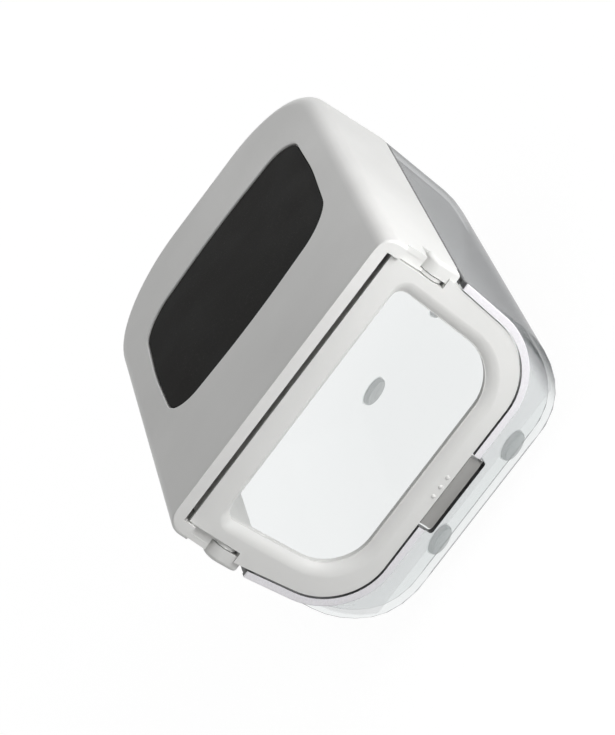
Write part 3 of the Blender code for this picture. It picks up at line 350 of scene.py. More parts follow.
def painted_dark_edge_san():
    """The same plastic where the eye looks along the wall from its narrow edge, painted a cool dark grey that is
    uneven along its length. This is painted shade for the light trapped in the wall and the shadow in the gaps, and
    it draws a thin dark line round the panel and under the lid."""
    material = bpy.data.materials.new("painted_shade_edge_of_san")
    material.use_nodes = True
    tree = material.node_tree
    plastic = tree.nodes["Principled BSDF"]
    place = add_node(tree, "TexCoord").outputs["Object"]
    uneven = add_node(tree, "TexNoise", {"Vector": place, "Scale": 120.0, "Detail": 3.0})
    tone = add_node(tree, "MapRange", {"Value": uneven.outputs[0], 1: 0.35, 2: 0.65, 3: 0.0, 4: 1.0})
    # Painted shade: the narrow faces are coloured a dark grey in place of trapped light and the shadow in the gap.
    colour = add_node(tree, "Mix", {0: tone.outputs[0], 6: ink("#3C3C3E"), 7: ink("#58595B")}, data_type="RGBA")
    sawn = add_node(tree, "Bump", {"Height": uneven.outputs[0], "Strength": 0.1, "Distance": 0.0001})
    tree.links.new(colour.outputs[2], plastic.inputs["Base Color"])
    tree.links.new(sawn.outputs[0], plastic.inputs["Normal"])
    plastic.inputs["Roughness"].default_value = 0.25
    plastic.inputs["IOR"].default_value = 1.57
    return material


def is_narrow_edge(face):
    """Whether a face is of the collar's bore, which faces the middle of the notch, or of the rim's upper edge."""
    place = middle(face)
    bore = place.y < -0.1072 and abs(face.normal.y) < 0.3 and place.z < 0.0670
    faces_notch = face.normal.dot(Vector((0, 0, 0.060)) - place) > 0.002
    return bore and faces_notch or place.z > container_rim - 0.0007 and place.y > -0.1107


coat(tub, clear_san(), painted_dark_edge_san())
# The collar's bore and the rim's upper edge take the painted dark shade.
take(tub)
pick("FACE", is_narrow_edge)
tub.active_material_index = 1
bpy.ops.object.material_slot_assign()
rest_hands()
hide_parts("container")
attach(tub, "container")


# The four feet: round buttons of cloudy clear TPE pushed into wells under the tub. Their rubbed faces stay dull,
# and dust sits in the fine texture that the tool gives them.

def merged_copy(node, name, width):
    """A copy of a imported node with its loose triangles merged, for edges and curves to be finished on."""
    rest_hands()
    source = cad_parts[node]
    piece = bpy.data.objects.new(name, source.data.copy())
    bpy.context.scene.collection.objects.link(piece)
    take(piece)
    pick("VERT", lambda corner: True)
    bpy.ops.mesh.remove_doubles(threshold=0.000002)
    bpy.ops.mesh.tris_convert_to_quads(face_threshold=math.radians(0.4), shape_threshold=math.pi)
    rest_hands()
    soften(piece, width)
    return piece


def soft_tpe(name, dark, light):
    """Thermoplastic elastomer with a spark-eroded finish: matt, a little uneven in tone, and dusty in its pores.
    The pores are 0.1 mm in the real one and drawn at 0.5 mm, so that they show."""
    material = bpy.data.materials.new(name)
    material.use_nodes = True
    tree = material.node_tree
    rubber = tree.nodes["Principled BSDF"]
    place = add_node(tree, "TexCoord").outputs["Object"]
    clouds = add_node(tree, "TexNoise", {"Vector": place, "Scale": 35.0, "Detail": 4.0})
    pores = add_node(tree, "TexNoise", {"Vector": place, "Scale": 2000.0, "Detail": 2.0})
    tone = add_node(tree, "MapRange", {"Value": clouds.outputs[0], 1: 0.35, 2: 0.65, 3: 0.0, 4: 1.0})
    colour = add_node(tree, "Mix", {0: tone.outputs[0], 6: ink(dark), 7: ink(light)}, data_type="RGBA")
    dust = add_node(tree, "MapRange", {"Value": pores.outputs[0], 1: 0.62, 2: 0.72, 3: 0.0, 4: 0.10})
    dusty = add_node(tree, "Mix", {0: dust.outputs[0], 6: colour.outputs[2], 7: ink("#9A9893")}, data_type="RGBA")
    matt = add_node(tree, "MapRange", {"Value": clouds.outputs[0], 1: 0.3, 2: 0.7, 3: 0.52, 4: 0.64})
    bump = add_node(tree, "Bump", {"Height": pores.outputs[0], "Strength": 0.35, "Distance": 0.0001})
    tree.links.new(dusty.outputs[2], rubber.inputs["Base Color"])
    tree.links.new(matt.outputs[0], rubber.inputs["Roughness"])
    tree.links.new(bump.outputs[0], rubber.inputs["Normal"])
    rubber.inputs["IOR"].default_value = 1.5
    rubber.inputs["Specular IOR Level"].default_value = 0.03
    return material


def let_through(material, share):
    """Let part of the light through a soft clear plastic, so that it takes on the tone of what is behind it."""
    tree = material.node_tree
    skin = tree.nodes["Principled BSDF"]
    through = add_node(tree, "BsdfTransparent", {"Color": ink("#F4F5F5")})
    mixed = add_node(tree, "MixShader", {0: share, 1: skin.outputs[0], 2: through.outputs[0]})
    tree.links.new(mixed.outputs[0], tree.nodes["Material Output"].inputs["Surface"])
    return material


foot_rubber = let_through(soft_tpe("clear_foot_tpe", "#C6C7C7", "#D0D1D1"), 0.72)
for number in range(1, 5):
    foot = merged_copy(f"foot_{number}", f"rubber_foot_{number}", width=0.0002)
    coat(foot, foot_rubber)
    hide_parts(f"foot_{number}")
    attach(foot, "container")


# The cutting frame: a white ABS moulding with the deck that food lies on, the window for the blades, and the
# flange and lip that sit on the container's rim. ABS takes the tool's satin grain, and handling polishes it.

def white_abs(name, light, shade):
    """ABS with a satin spark-eroded finish. Its tone drifts a little over a hand's breadth, its grain is 0.15 mm in
    the real one and drawn at 0.6 mm, and rubbed places shine a little more along thin hairlines."""
    material = bpy.data.materials.new(name)
    material.use_nodes = True
    tree = material.node_tree
    plastic = tree.nodes["Principled BSDF"]
    place = add_node(tree, "TexCoord").outputs["Object"]
    drift = add_node(tree, "TexNoise", {"Vector": place, "Scale": 14.0, "Detail": 3.0})
    grains = add_node(tree, "TexNoise", {"Vector": place, "Scale": 1700.0, "Detail": 2.0})
    stretch = add_node(tree, "Mapping", {"Vector": place, "Scale": (1400.0, 70.0, 700.0)})
    hairs = add_node(tree, "TexNoise", {"Vector": stretch.outputs[0], "Scale": 1.0, "Detail": 3.0})
    tone = add_node(tree, "MapRange", {"Value": drift.outputs[0], 1: 0.35, 2: 0.65, 3: 0.0, 4: 1.0})
    colour = add_node(tree, "Mix", {0: tone.outputs[0], 6: ink(light), 7: ink(shade)}, data_type="RGBA")
    rubbed = add_node(tree, "MapRange", {"Value": hairs.outputs[0], 1: 0.60, 2: 0.74, 3: 0.0, 4: 0.08})
    satin = add_node(tree, "MapRange", {"Value": drift.outputs[0], 1: 0.3, 2: 0.7, 3: 0.36, 4: 0.44})
    rough = add_node(tree, "Math", {0: satin.outputs[0], 1: rubbed.outputs[0]}, operation="SUBTRACT")
    bump = add_node(tree, "Bump", {"Height": grains.outputs[0], "Strength": 0.35, "Distance": 0.00005})
    tree.links.new(colour.outputs[2], plastic.inputs["Base Color"])
    tree.links.new(rough.outputs[0], plastic.inputs["Roughness"])
    tree.links.new(bump.outputs[0], plastic.inputs["Normal"])
    plastic.inputs["IOR"].default_value = 1.53
    return material


abs_white = white_abs("satin_white_abs", "#EDEDEB", "#E7E7E5")
deck = merged_copy("cutting_frame", "cutting_deck", width=0.0002)
coat(deck, abs_white)
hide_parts("cutting_frame")
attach(deck, "cutting_top")


# The pour panel: the white end plate that closes the container's notch, with the dished pour opening, two hinge
# lugs and three raised dots over the release tongue, all one ABS moulding. Its top strip is rolled back by less
# than a millimetre and ends below the lid's lip, which leaves a dark gap there.

panel_front, panel_back = -0.1105, -0.1081
panel_foot, panel_top = 0.0228, 0.0982
panel_half_foot, panel_half_shoulder, panel_half_neck = 0.06317, 0.0698, 0.0654
panel_half_top = panel_half_shoulder + 0.0034
panel_shoulder = 0.0738
opening_foot, opening_top = 0.0333, 0.0878
opening_half_foot, opening_half_top = 0.0525, 0.0562
opening_foot_corner, opening_top_corner = 0.0205, 0.0045
dish_width, dish_width_above, least_share_above = 0.0056, 0.0022, 0.8
dish_depth, lining_depth = 0.0037, 0.0055


def opening_level(number, depth, grow, grow_top):
    """One ring of the opening's lining, laid flat: heights are written as Y, and depths as minus Z."""
    lean = math.atan2(opening_half_top - opening_half_foot, opening_top - opening_foot)
    add_level(number, -depth, opening_half_foot + grow, opening_half_top + grow, opening_foot - grow,
              opening_top + grow_top, (opening_foot_corner + grow) / math.tan(math.pi / 4 + lean / 2),
              (opening_top_corner + grow_top) / math.tan(math.pi / 4 - lean / 2), steps=(12, 6))


def fill_between(*numbers):
    """Select the two outlines of a flat face that has a hole in it, and fill between them."""
    pick_levels(*numbers)
    bpy.ops.mesh.fill(use_beauty=True)


def merge_flats():
    """Merge the flat faces of the piece in hand."""
    pick("FACE", lambda face: True)
    bpy.ops.mesh.dissolve_limited(angle_limit=math.radians(0.2))


def side_block(side, inner, outer, near, deep, foot, top):
    """A block on one side of the chopper, between two distances from its middle."""
    ends = sorted((side * inner, side * outer))
    return block((ends[0], near, foot), (ends[1], deep, top))


panel = new_piece("pour_panel_moulding")
for number, depth in ((1, panel_front), (2, panel_back)):
    add_level(number, -depth, panel_half_foot, panel_half_top, panel_foot, panel_top, round_rear=0.0237,
              round_far=0.0005, steps=(20, 2))
rings = [(1.0, 1.0, panel_front)]
for share, sink in ((0.93, 0.006), (0.84, 0.03), (0.73, 0.075), (0.60, 0.15), (0.46, 0.25), (0.32, 0.37),
                    (0.20, 0.50), (0.12, 0.60), (0.07, 0.66), (0.04, 0.65), (0.015, 0.68), (0.0, 0.76), (0.0, 1.49)):
    rings.append((share, share, panel_front + dish_depth * sink))
for share, sink in ((0.10, 1.06), (0.24, 1.0), (0.44, 0.68), (0.70, 0.48)):
    rings.append((share, max(share, least_share_above), panel_front + lining_depth * sink))
rings.append((1.0, 1.0, panel_back))
for number, (share, share_above, depth) in enumerate(rings, 3):
    opening_level(number, depth, dish_width * share, dish_width_above * share_above)
last_ring = 2 + len(rings)
skin_levels([(1, 2)] + [(number, number + 1) for number in range(3, last_ring)])

top_roll = {0.0915: 0.00002, 0.0930: 0.00008, 0.0945: 0.00018, 0.0957: 0.00030, 0.0969: 0.00047, panel_top: 0.00070}
fill_between(1, 3)
for height in list(top_roll)[:-1]:
    pick("FACE", lambda face: abs(face.normal.z) > 0.999 and middle(face).z > -panel_front - 0.0001)
    bpy.ops.mesh.bisect(plane_co=(0, height, 0), plane_no=(0, 1, 0))
for height, leaned_back in top_roll.items():
    pick("VERT", lambda corner: abs(corner.co.y - height) < 0.00001 and corner.co.z > -panel_front - 0.0001)
    bpy.ops.transform.translate(value=(0, 0, -leaned_back))
merge_flats()
fill_between(2, last_ring)
merge_flats()
face_outwards()
panel.rotation_euler = (math.pi / 2, 0, 0)
take(panel, "OBJECT")
bpy.ops.object.transform_apply(location=True, rotation=True, scale=True)
for side in (-1, 1):
    join_or_cut(panel, side_block(side, inner=panel_half_neck, outer=0.09, near=-0.12, deep=-0.10,
                                  foot=panel_shoulder, top=0.12))
soften(panel, width=0.0002, angle=60)

hinge_y, hinge_z, hinge_bore = -0.1045, 0.0796, 0.0018
lug_radius, lug_inner, lug_straight, lug_round, lug_foot = 0.0058, 0.0675, 0.0046, 0.0018, 0.0706
for side in (-1, 1):
    rest_hands()
    bpy.ops.mesh.primitive_circle_add(vertices=64, radius=lug_radius, fill_type="NGON", rotation=(0, math.pi / 2, 0),
                                      location=(side * lug_inner, hinge_y, hinge_z))
    bpy.ops.object.transform_apply(location=True, rotation=True, scale=True)
    lug = bpy.context.object
    take(lug)
    pick("VERT", lambda corner: corner.co.z < hinge_z - 0.0003)
    bpy.ops.transform.resize(value=(1, 1, 0), center_override=(0, hinge_y, lug_foot))
    bpy.ops.transform.resize(value=(1, 0.88, 1), center_override=(0, hinge_y + lug_radius, lug_foot))
    pick("FACE", lambda face: True)
    bpy.ops.mesh.extrude_region_move(TRANSFORM_OT_translate={"value": (side * lug_straight, 0, 0)})
    radius_before, reach_before = lug_radius, 0.0
    for turn in range(15, 91, 15):
        radius = lug_radius - lug_round * (1 - math.cos(math.radians(turn)))
        reach = lug_round * math.sin(math.radians(turn))
        step = radius / radius_before
        bpy.ops.mesh.extrude_region_move(TRANSFORM_OT_translate={"value": (side * (reach - reach_before), 0, 0)})
        bpy.ops.transform.resize(value=(1, step, step), center_override=(0, hinge_y, hinge_z))
        radius_before, reach_before = radius, reach
    face_outwards()
    neck = side_block(side, inner=0.0650, outer=0.0685, near=-0.1102, deep=-0.0990, foot=0.0709, top=0.0737)
    join_or_cut(lug, neck, "UNION")
    join_or_cut(lug, rod((side * 0.0690, hinge_y, hinge_z), hinge_bore, 0.0058, "X", steps=24))
    soften(lug)
    join_or_cut(panel, lug, "UNION")

tongue_pin_y, tongue_pin_z = -0.1037, 0.0278
for side in (-1, 1):
    cheek = side_block(side, inner=0.0158, outer=0.0180, near=-0.1084, deep=-0.1023, foot=0.0246, top=0.0300)
    join_or_cut(cheek, rod((0, tongue_pin_y, tongue_pin_z), 0.00105, 0.05, "X", steps=16))
    join_or_cut(panel, cheek, "UNION")
for place in (-0.0046, 0, 0.0046):
    rest_hands()
    bpy.ops.mesh.primitive_uv_sphere_add(segments=20, ring_count=10, radius=1, location=(place, panel_front, 0.0249),
                                         rotation=(math.pi / 2, 0, 0), scale=(0.0009, 0.0009, 0.0006))
    bpy.ops.object.transform_apply(location=True, rotation=True, scale=True)
    join_or_cut(panel, bpy.context.object, "UNION")
soften(panel)
coat(panel, abs_white)
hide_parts("pour_panel")
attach(panel, "cutting_top")


# The release tongue: a grey ABS press tab under the panel's edge. A thumb pushes its scooped face, and its stem
# turns on a steel pin behind the panel until the nib at its foot lets go of the container.

def grey_abs(name, light, shade):
    """ABS coloured grey in the mass, moulded in a polished tool: a soft gloss, drifting in tone by a shade or two,
    with short rubbed marks where it is pressed or washed."""
    material = bpy.data.materials.new(name)
    material.use_nodes = True
    tree = material.node_tree
    plastic = tree.nodes["Principled BSDF"]
    place = add_node(tree, "TexCoord").outputs["Object"]
    drift = add_node(tree, "TexNoise", {"Vector": place, "Scale": 60.0, "Detail": 4.0})
    marks = add_node(tree, "TexNoise", {"Vector": place, "Scale": 900.0, "Detail": 2.0})
    colour = add_node(tree, "Mix", {0: drift.outputs[0], 6: ink(light), 7: ink(shade)}, data_type="RGBA")
    rough = add_node(tree, "MapRange", {"Value": drift.outputs[0], 1: 0.3, 2: 0.7, 3: 0.30, 4: 0.42})
    bump = add_node(tree, "Bump", {"Height": marks.outputs[0], "Strength": 0.2, "Distance": 0.00004})
    tree.links.new(colour.outputs[2], plastic.inputs["Base Color"])
    tree.links.new(rough.outputs[0], plastic.inputs["Roughness"])
    tree.links.new(bump.outputs[0], plastic.inputs["Normal"])
    plastic.inputs["IOR"].default_value = 1.53
    return material


grey_moulding = grey_abs("moulded_grey_abs", "#A9A8A6", "#A09F9D")
tab_half, tab_front, tab_back, tab_foot, tab_top = 0.0165, -0.1102, -0.1055, 0.0171, 0.0225
scoop_depth = 0.0009
tab = block((-tab_half, tab_front, tab_foot), (tab_half, tab_back, tab_top))
take(tab)
pick("EDGE", lambda edge: middle(edge).z < tab_foot + 0.0001 and abs(middle(edge).x) > tab_half - 0.0005)
bpy.ops.mesh.bevel(offset=0.0013, segments=6, clamp_overlap=False)
scoop_levels = [(share, tab_foot + share * (tab_top - tab_foot)) for share in (0.15, 0.3, 0.45, 0.6, 0.75, 0.9)]
for share, level in scoop_levels:
    pick("FACE", lambda face: True)
    bpy.ops.mesh.bisect(plane_co=(0, 0, level), plane_no=(0, 0, 1))
for share, level in scoop_levels:
    pick("VERT", lambda corner: abs(corner.co.z - level) < 0.00005 and corner.co.y < tab_front + 0.0001)
    scoop = scoop_depth * math.sin(math.pi * ((share - 0.05) / 0.95)) ** 0.8
    bpy.ops.transform.translate(value=(0, scoop, 0))
rest_hands()
stem = block((-0.0155, tab_back, tab_foot + 0.0004), (0.0155, -0.1019, tongue_pin_z))
join_or_cut(stem, rod((0, tongue_pin_y, tongue_pin_z), 0.0018, 0.0310, "X", steps=28), "UNION")
join_or_cut(stem, rod((0, tongue_pin_y, tongue_pin_z), 0.0010, 0.0400, "X", steps=16))
join_or_cut(tab, stem, "UNION")
nib = block((-tab_half, tab_back, tab_foot - 0.0020), (tab_half, -0.1041, tab_foot + 0.0004))
take(nib)
pick("VERT", lambda corner: corner.co.z > tab_foot)
bpy.ops.transform.translate(value=(0, 0.0003, 0))
rest_hands()
join_or_cut(tab, nib, "UNION")
soften(tab, width=0.00025, steps=3, angle=50)
tab.name = "press_tab"
coat(tab, grey_moulding)
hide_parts("release_tongue")
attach(tab, "release_tongue")


# The pins and screws: drawn stainless wire, cropped and turned for the two headed hinge pins and the tongue's
# pin, and pan heads with a cross recess that hold the blade retainer and the pusher plate.

def bright_steel(name, stretch, light="#C9C9C8", shade="#B4B3B2", rough=(0.16, 0.30)):
    """Stainless steel with the fine lines that drawing or grinding leaves along it. Real lines are about 0.05 mm
    apart and these are drawn at 0.3 mm, so that they show."""
    material = bpy.data.materials.new(name)
    material.use_nodes = True
    tree = material.node_tree
    metal = tree.nodes["Principled BSDF"]
    place = add_node(tree, "TexCoord").outputs["Object"]
    along = add_node(tree, "Mapping", {"Vector": place, "Scale": stretch})
    lines = add_node(tree, "TexNoise", {"Vector": along.outputs[0], "Scale": 1.0, "Detail": 4.0})
    clouds = add_node(tree, "TexNoise", {"Vector": place, "Scale": 90.0, "Detail": 2.0})
    colour = add_node(tree, "Mix", {0: clouds.outputs[0], 6: ink(light), 7: ink(shade)}, data_type="RGBA")
    brushed = add_node(tree, "MapRange", {"Value": lines.outputs[0], 1: 0.3, 2: 0.7, 3: rough[0], 4: rough[1]})
    bump = add_node(tree, "Bump", {"Height": lines.outputs[0], "Strength": 0.12, "Distance": 0.00003})
    tree.links.new(colour.outputs[2], metal.inputs["Base Color"])
    tree.links.new(brushed.outputs[0], metal.inputs["Roughness"])
    tree.links.new(bump.outputs[0], metal.inputs["Normal"])
    metal.inputs["Metallic"].default_value = 1.0
    return material


turned_steel = bright_steel("turned_stainless", (3200.0, 300.0, 300.0))
pressed_steel = bright_steel("screw_stainless", (900.0, 900.0, 900.0), rough=(0.20, 0.34))
fasteners = [("hinge_pin_left", "cutting_top"), ("hinge_pin_right", "cutting_top"), ("tongue_pin", "cutting_top")]
fasteners += [(f"retainer_screw_{number}", "cutting_top") for number in range(1, 7)]
fasteners += [(f"pusher_screw_{number}", "lid") for number in range(1, 5)]
for node, body in fasteners:
    fastener = merged_copy(node, f"steel_{node}", width=0.0001)
    coat(fastener, turned_steel if "pin" in node else pressed_steel)
    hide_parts(node)
    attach(fastener, body)


# The blades: fourteen strips of cold-rolled stainless, half-lapped into a grid. Each is ground to a bevel along
# its top, so the lowest part keeps the dull rolled skin and the bevel is bright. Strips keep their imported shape.

def blade_steel(name, stretch):
    """Rolled strip with a ground bevel: dull grey with lines along the strip, and a brighter, smoother band over the
    top 1.2 mm that the grinding wheel has cut."""
    material = bright_steel(name, stretch, "#BFBFBE", "#AAAAA9", (0.26, 0.40))
    tree = material.node_tree
    metal = tree.nodes["Principled BSDF"]
    place = add_node(tree, "TexCoord").outputs["Object"]
    height = add_node(tree, "SeparateXYZ", {0: place}).outputs["Z"]
    ground = add_node(tree, "MapRange", {"Value": height, 1: 0.0900, 2: 0.0902, 3: 0.0, 4: 1.0})
    rolled_colour = metal.inputs["Base Color"].links[0].from_socket
    rolled_rough = metal.inputs["Roughness"].links[0].from_socket
    colour = add_node(tree, "Mix", {0: ground.outputs[0], 6: rolled_colour, 7: ink("#DADAD9")}, data_type="RGBA")
    rough = add_node(tree, "Mix", {0: ground.outputs[0], 2: rolled_rough, 3: 0.14})
    tree.links.new(colour.outputs[2], metal.inputs["Base Color"])
    tree.links.new(rough.outputs[0], metal.inputs["Roughness"])
    return material


strip_along = blade_steel("rolled_strip_along", (3300.0, 120.0, 3300.0))
strip_across = blade_steel("rolled_strip_across", (120.0, 3300.0, 3300.0))
for node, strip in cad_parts.items():
    if "_blade_" in node:
        coat(strip, strip_along if node.startswith("long") else strip_across)


# The blade retainer: a flat grey ABS ring under the ribs, held by six screws, which keeps the ends of the strips
# in their slots.

retainer = merged_copy("blade_retainer", "retainer_ring", width=0.0003)
coat(retainer, grey_moulding)
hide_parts("blade_retainer")
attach(retainer, "cutting_top")


# The lid: one deep ABS moulding with a soft rounded edge all round but the rear, where a low lip hangs over the
# panel. Two ears beside the opening carry the hinge tabs, and four bosses inside take the pusher's screws.

lid_top, skirt_foot, lid_wall, roof = 0.106, 0.0685, 0.0024, 0.0028
lid_half_rear, lid_half_far, lid_rear, lid_rear_inside, lid_far = 0.0726, 0.0698, -0.1125, -0.1101, 0.1125
lid_rear_corner, lid_far_corner = 0.0015, 0.049
edge_round, draft = 0.0068, 0.0010
roof_round = edge_round - lid_wall
lip_foot, ear_foot, ear_turn = 0.1012, 0.0858, 0.0955
ear_inner, ear_outer = 0.0657, 0.0704


def lid_level(number, z, inward, rear):
    """One level of the lid. Its walls lean in by the draft towards the top, and are drawn in further by an amount."""
    inward += draft * (z - skirt_foot) / (lid_top - skirt_foot)
    add_level(number, z, lid_half_rear - inward, lid_half_far - inward, rear, lid_far - inward, lid_rear_corner,
              lid_far_corner - inward, steps=(4, 24))


lid = new_piece("lid_moulding")
levels = 0
for turn in range(0, 91, 9):
    levels += 1
    sine, cosine = math.sin(math.radians(turn)), math.cos(math.radians(turn))
    lid_level(levels, lid_top - edge_round * (1 - cosine), edge_round * (1 - sine), lid_rear)
for z, inward, rear in ((skirt_foot + 0.0005, 0, lid_rear), (skirt_foot + 0.0001, 0.0002, lid_rear),
                        (skirt_foot, 0.0006, lid_rear), (skirt_foot, lid_wall - 0.0002, lid_rear_inside)):
    levels += 1
    lid_level(levels, z, inward, rear)
for turn in range(90, -1, -15):
    levels += 1
    sine, cosine = math.sin(math.radians(turn)), math.cos(math.radians(turn))
    lid_level(levels, lid_top - roof - roof_round * (1 - cosine), lid_wall + roof_round * (1 - sine),
              lid_rear_inside)
close_levels(levels)

for half, deep, top in ((ear_inner, -0.1091, lip_foot), (0.0826, -0.1085, ear_turn), (0.0826, -0.0955, ear_foot)):
    join_or_cut(lid, block((-half, -0.1135, 0.060), (half, deep, top)))
for side in (-1, 1):
    ear = side_block(side, ear_inner, ear_outer, near=-0.1082, deep=-0.0945, foot=ear_foot, top=lid_top - edge_round)
    join_or_cut(lid, ear, "UNION")
    hinge_tab = rod((side * 0.06645, hinge_y, hinge_z), 0.0054, 0.0014, "X", steps=40)
    tab_neck = side_block(side, inner=0.06575, outer=0.06715, near=-0.1075, deep=-0.0991, foot=hinge_z,
                          top=ear_foot + 0.002)
    join_or_cut(hinge_tab, tab_neck, "UNION")
    join_or_cut(lid, hinge_tab, "UNION")
    join_or_cut(lid, rod((side * 0.0664, hinge_y, hinge_z), hinge_bore, 0.0040, "X", steps=24))
for number in range(1, 5):
    low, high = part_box(f"pusher_screw_{number}")
    x, y = (low.x + high.x) / 2, (low.y + high.y) / 2
    boss = rod((x, y, 0.1021), 0.0035, 0.0038, "Z", steps=32)
    join_or_cut(lid, boss, "UNION")
    screw_hole = rod((x, y, 0.1006), 0.0014, 0.0060, "Z", steps=16)
    join_or_cut(lid, screw_hole)

pad_middle, pad_half_x, pad_half_y = 0.0085, 0.0535, 0.0555
pad_side_bow, pad_end_bow, pad_corner, pad_side_round = 0.0022, 0.0050, 0.019, 0.2
pad_steps = 10


def round_corners(test, radius, turn, steps):
    """Round the corners of a flat plate that pass a test, where its outline turns by an angle, to a radius."""
    pick("VERT", test)
    bpy.ops.mesh.bevel(offset=radius * math.tan(turn / 2), segments=steps, affect="VERTICES", clamp_overlap=False)


def pad_shape(name, grow, low, high):
    """The pad's plan as a slab: eight corners of a bowed rectangle, rounded one after another, then made thick."""
    rest_hands()
    half_x, half_y = pad_half_x + grow, pad_half_y + grow
    corner_x, corner_y = half_x - pad_side_bow, half_y - pad_end_bow
    bpy.ops.mesh.primitive_circle_add(vertices=8, radius=1, fill_type="NGON", location=(0, 0, 0))
    piece = bpy.context.object
    piece.name = name
    take(piece)
    pick("VERT", lambda corner: abs(corner.co.x) > 0.3 and abs(corner.co.y) > 0.3)
    reach = math.sqrt(0.5)
    bpy.ops.transform.resize(value=(corner_x / half_x / reach, corner_y / half_y / reach, 1),
                             center_override=(0, 0, 0))
    pick("VERT", lambda corner: True)
    bpy.ops.transform.resize(value=(half_x, half_y, 1), center_override=(0, 0, 0))
    side_turn = 2 * math.atan2(pad_side_bow, corner_y)
    end_turn = 2 * math.atan2(pad_end_bow, corner_x)
    round_corners(lambda corner: abs(corner.co.y) < 0.001, pad_side_round, side_turn, pad_steps)
    round_corners(lambda corner: abs(corner.co.x) < 0.001 and abs(corner.co.y) > half_y - 0.0001, pad_side_round,
                  end_turn, pad_steps)
    round_corners(lambda corner: abs(abs(corner.co.x) - corner_x) < 0.0001
                  and abs(abs(corner.co.y) - corner_y) < 0.0001, pad_corner,
                  math.pi / 2 - side_turn / 2 - end_turn / 2, 2 * pad_steps)
    pick("VERT", lambda corner: True)
    bpy.ops.transform.translate(value=(0, pad_middle, high))
    pick("FACE", lambda face: True)
    bpy.ops.mesh.extrude_region_move(TRANSFORM_OT_translate={"value": (0, 0, low - high)})
    face_outwards()
    return piece


def is_well_rim(edge):
    """Whether an edge is of the mouth of the pad's well, in the lid's flat top."""
    place = middle(edge)
    on_top = min(corner.co.z for corner in edge.verts) > lid_top - 0.00005
    return on_top and abs(place.x) < 0.055 and -0.048 < place.y < 0.0655 and edge.calc_face_angle(0) > 1


join_or_cut(lid, pad_shape("pad_well", grow=0.0004, low=0.1043, high=0.107))
take(lid)
pick("EDGE", is_well_rim)
bpy.ops.mesh.bevel(offset=0.0005, segments=4, clamp_overlap=False)
soften(lid, width=0.00022, angle=50)
coat(lid, abs_white)
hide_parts("lid_shell")
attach(lid, "lid")


# The pusher: a grey ABS plate with sixty-four square pegs, one for each cell of the grid, screwed up under the
# lid's roof.

pusher = merged_copy("pusher_plate", "pusher_with_pegs", width=0.0002)
coat(pusher, grey_moulding)
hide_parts("pusher_plate")
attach(pusher, "lid")


# The grip pad: soft black TPE moulded into a shallow well of the lid, a little crowned so that it fills the palm,
# and matt but for the sheen that a hand leaves.

pad_side_top, pad_edge_round, pad_crown = 0.1050, 0.0004, 0.0006
pad = pad_shape("palm_pad", grow=0.0, low=0.1046, high=pad_side_top)
take(pad)
pick("FACE", lambda face: face.normal.z > 0.9)
rings = [(1 - 0.0075 * (1 - math.cos(turn * math.pi / 10)),
          pad_side_top + pad_edge_round * math.sin(turn * math.pi / 10)) for turn in range(1, 6)]
rings += [(share, pad_side_top + pad_edge_round + pad_crown * (1 - share * share))
          for share in (0.97, 0.92, 0.84, 0.72, 0.56, 0.36, 0.16)]
share_before, height_before = 1.0, pad_side_top
for share, height in rings:
    bpy.ops.mesh.extrude_region_move(TRANSFORM_OT_translate={"value": (0, 0, height - height_before)})
    step = share / share_before
    bpy.ops.transform.resize(value=(step, step, 1), center_override=(0, pad_middle, height))
    share_before, height_before = share, height
rest_hands()
soften(pad)
coat(pad, soft_tpe("black_grip_tpe", "#1E1E1D", "#252423"))
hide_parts("grip_pad")
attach(pad, "lid")


# The studio: a white sweep, a small low lamp by the pour end, a large soft one on the right and weak ones on the
# left and behind. Floor and sky show white to the eye and light the piece softly, and the sky is mirrored at half
# strength. The long lens looks down at the pour end, from a place and with turns fitted to the photograph.

rest_hands()
bpy.ops.mesh.primitive_plane_add(size=8, location=(0, 0, 0))
floor = bpy.context.object
floor.name = "white_sweep"
paper = bpy.data.materials.new("white_paper_sweep")
paper.use_nodes = True
tree = paper.node_tree
tree.nodes.clear()
path = add_node(tree, "LightPath")
seen = add_node(tree, "Math", {0: path.outputs["Is Camera Ray"], 1: path.outputs["Is Glossy Ray"]},
                operation="MAXIMUM")
seen = add_node(tree, "Math", {0: seen.outputs[0], 1: path.outputs["Is Transmission Ray"]}, operation="MAXIMUM")
share = add_node(tree, "Math", {0: seen.outputs[0], 1: 0.80}, operation="MULTIPLY")
place = add_node(tree, "TexCoord").outputs["Object"]
fibres = add_node(tree, "TexNoise", {"Vector": place, "Scale": 400.0, "Detail": 3.0})
tint = add_node(tree, "Mix", {0: fibres.outputs[0], 6: ink("#F6F6F6"), 7: ink("#F1F1F1")}, data_type="RGBA")
lit = add_node(tree, "BsdfDiffuse", {"Color": tint.outputs[2]})
glow = add_node(tree, "Emission", {"Color": (1, 1, 1, 1), "Strength": 1.15})
mixed = add_node(tree, "MixShader", {0: share.outputs[0], 1: lit.outputs[0], 2: glow.outputs[0]})
add_node(tree, "OutputMaterial", {"Surface": mixed.outputs[0]})
floor.data.materials.append(paper)

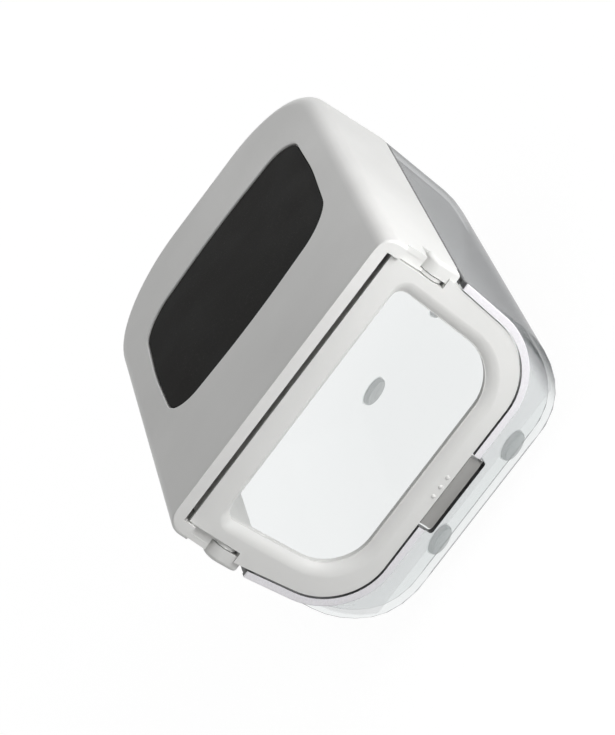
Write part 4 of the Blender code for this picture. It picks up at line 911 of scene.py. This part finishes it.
world = bpy.data.worlds.new("soft_sky")
world.use_nodes = True
bpy.context.scene.world = world
tree = world.node_tree
tree.nodes.clear()
path = add_node(tree, "LightPath")
seen = add_node(tree, "Math", {0: path.outputs["Is Camera Ray"], 1: path.outputs["Is Transmission Ray"]},
                operation="MAXIMUM")
mirrored = add_node(tree, "Math", {0: path.outputs["Is Glossy Ray"], 1: 0.5}, operation="MULTIPLY")
seen = add_node(tree, "Math", {0: seen.outputs[0], 1: mirrored.outputs[0]}, operation="MAXIMUM")
sky = add_node(tree, "Background", {"Color": (1, 1, 1, 1), "Strength": 0.335})
white = add_node(tree, "Background", {"Color": (1, 1, 1, 1), "Strength": 1.0})
mixed = add_node(tree, "MixShader", {0: seen.outputs[0], 1: sky.outputs[0], 2: white.outputs[0]})
add_node(tree, "OutputWorld", {"Surface": mixed.outputs[0]})

aim = Vector((0, 0, 0.06))
for name, spot, size, power in (("key_softbox", (0.31, -0.37, 0.045), (0.26, 0.08), 1.04),
                                ("side_softbox", (1.90, 0.15, 0.12), (1.2, 1.2), 14.5),
                                ("left_fill", (-1.50, 0.40, 0.25), (1.2, 1.2), 4.0),
                                ("far_fill", (0.30, 1.60, 0.25), (1.2, 1.2), 4.0)):
    lamp = bpy.data.objects.new(name, bpy.data.lights.new(name, "AREA"))
    lamp.data.shape = "RECTANGLE"
    lamp.data.size, lamp.data.size_y = size
    lamp.data.energy = power
    lamp.location = spot
    lamp.visible_camera = False
    lamp.rotation_euler = (Vector(spot) - aim).to_track_quat("Z", "Y").to_euler()
    bpy.context.scene.collection.objects.link(lamp)

camera = bpy.data.objects.new("camera", bpy.data.cameras.new("camera"))
camera.data.sensor_width = 36.0
camera.data.lens = 227.3
camera.data.clip_end = 20.0
back = Vector((0.2069, -0.9223, 0.3263)).normalized()
right = Vector((0.5923, -0.1474, -0.7921))
right = (right - back * right.dot(back)).normalized()
camera.matrix_world = Matrix.Translation((0.3773, -1.7436, 0.6759)) @ Matrix(
    (right, back.cross(right), back)).transposed().to_4x4()
bpy.context.scene.collection.objects.link(camera)
bpy.context.scene.camera = camera
bpy.context.scene.view_settings.view_transform = "Standard"
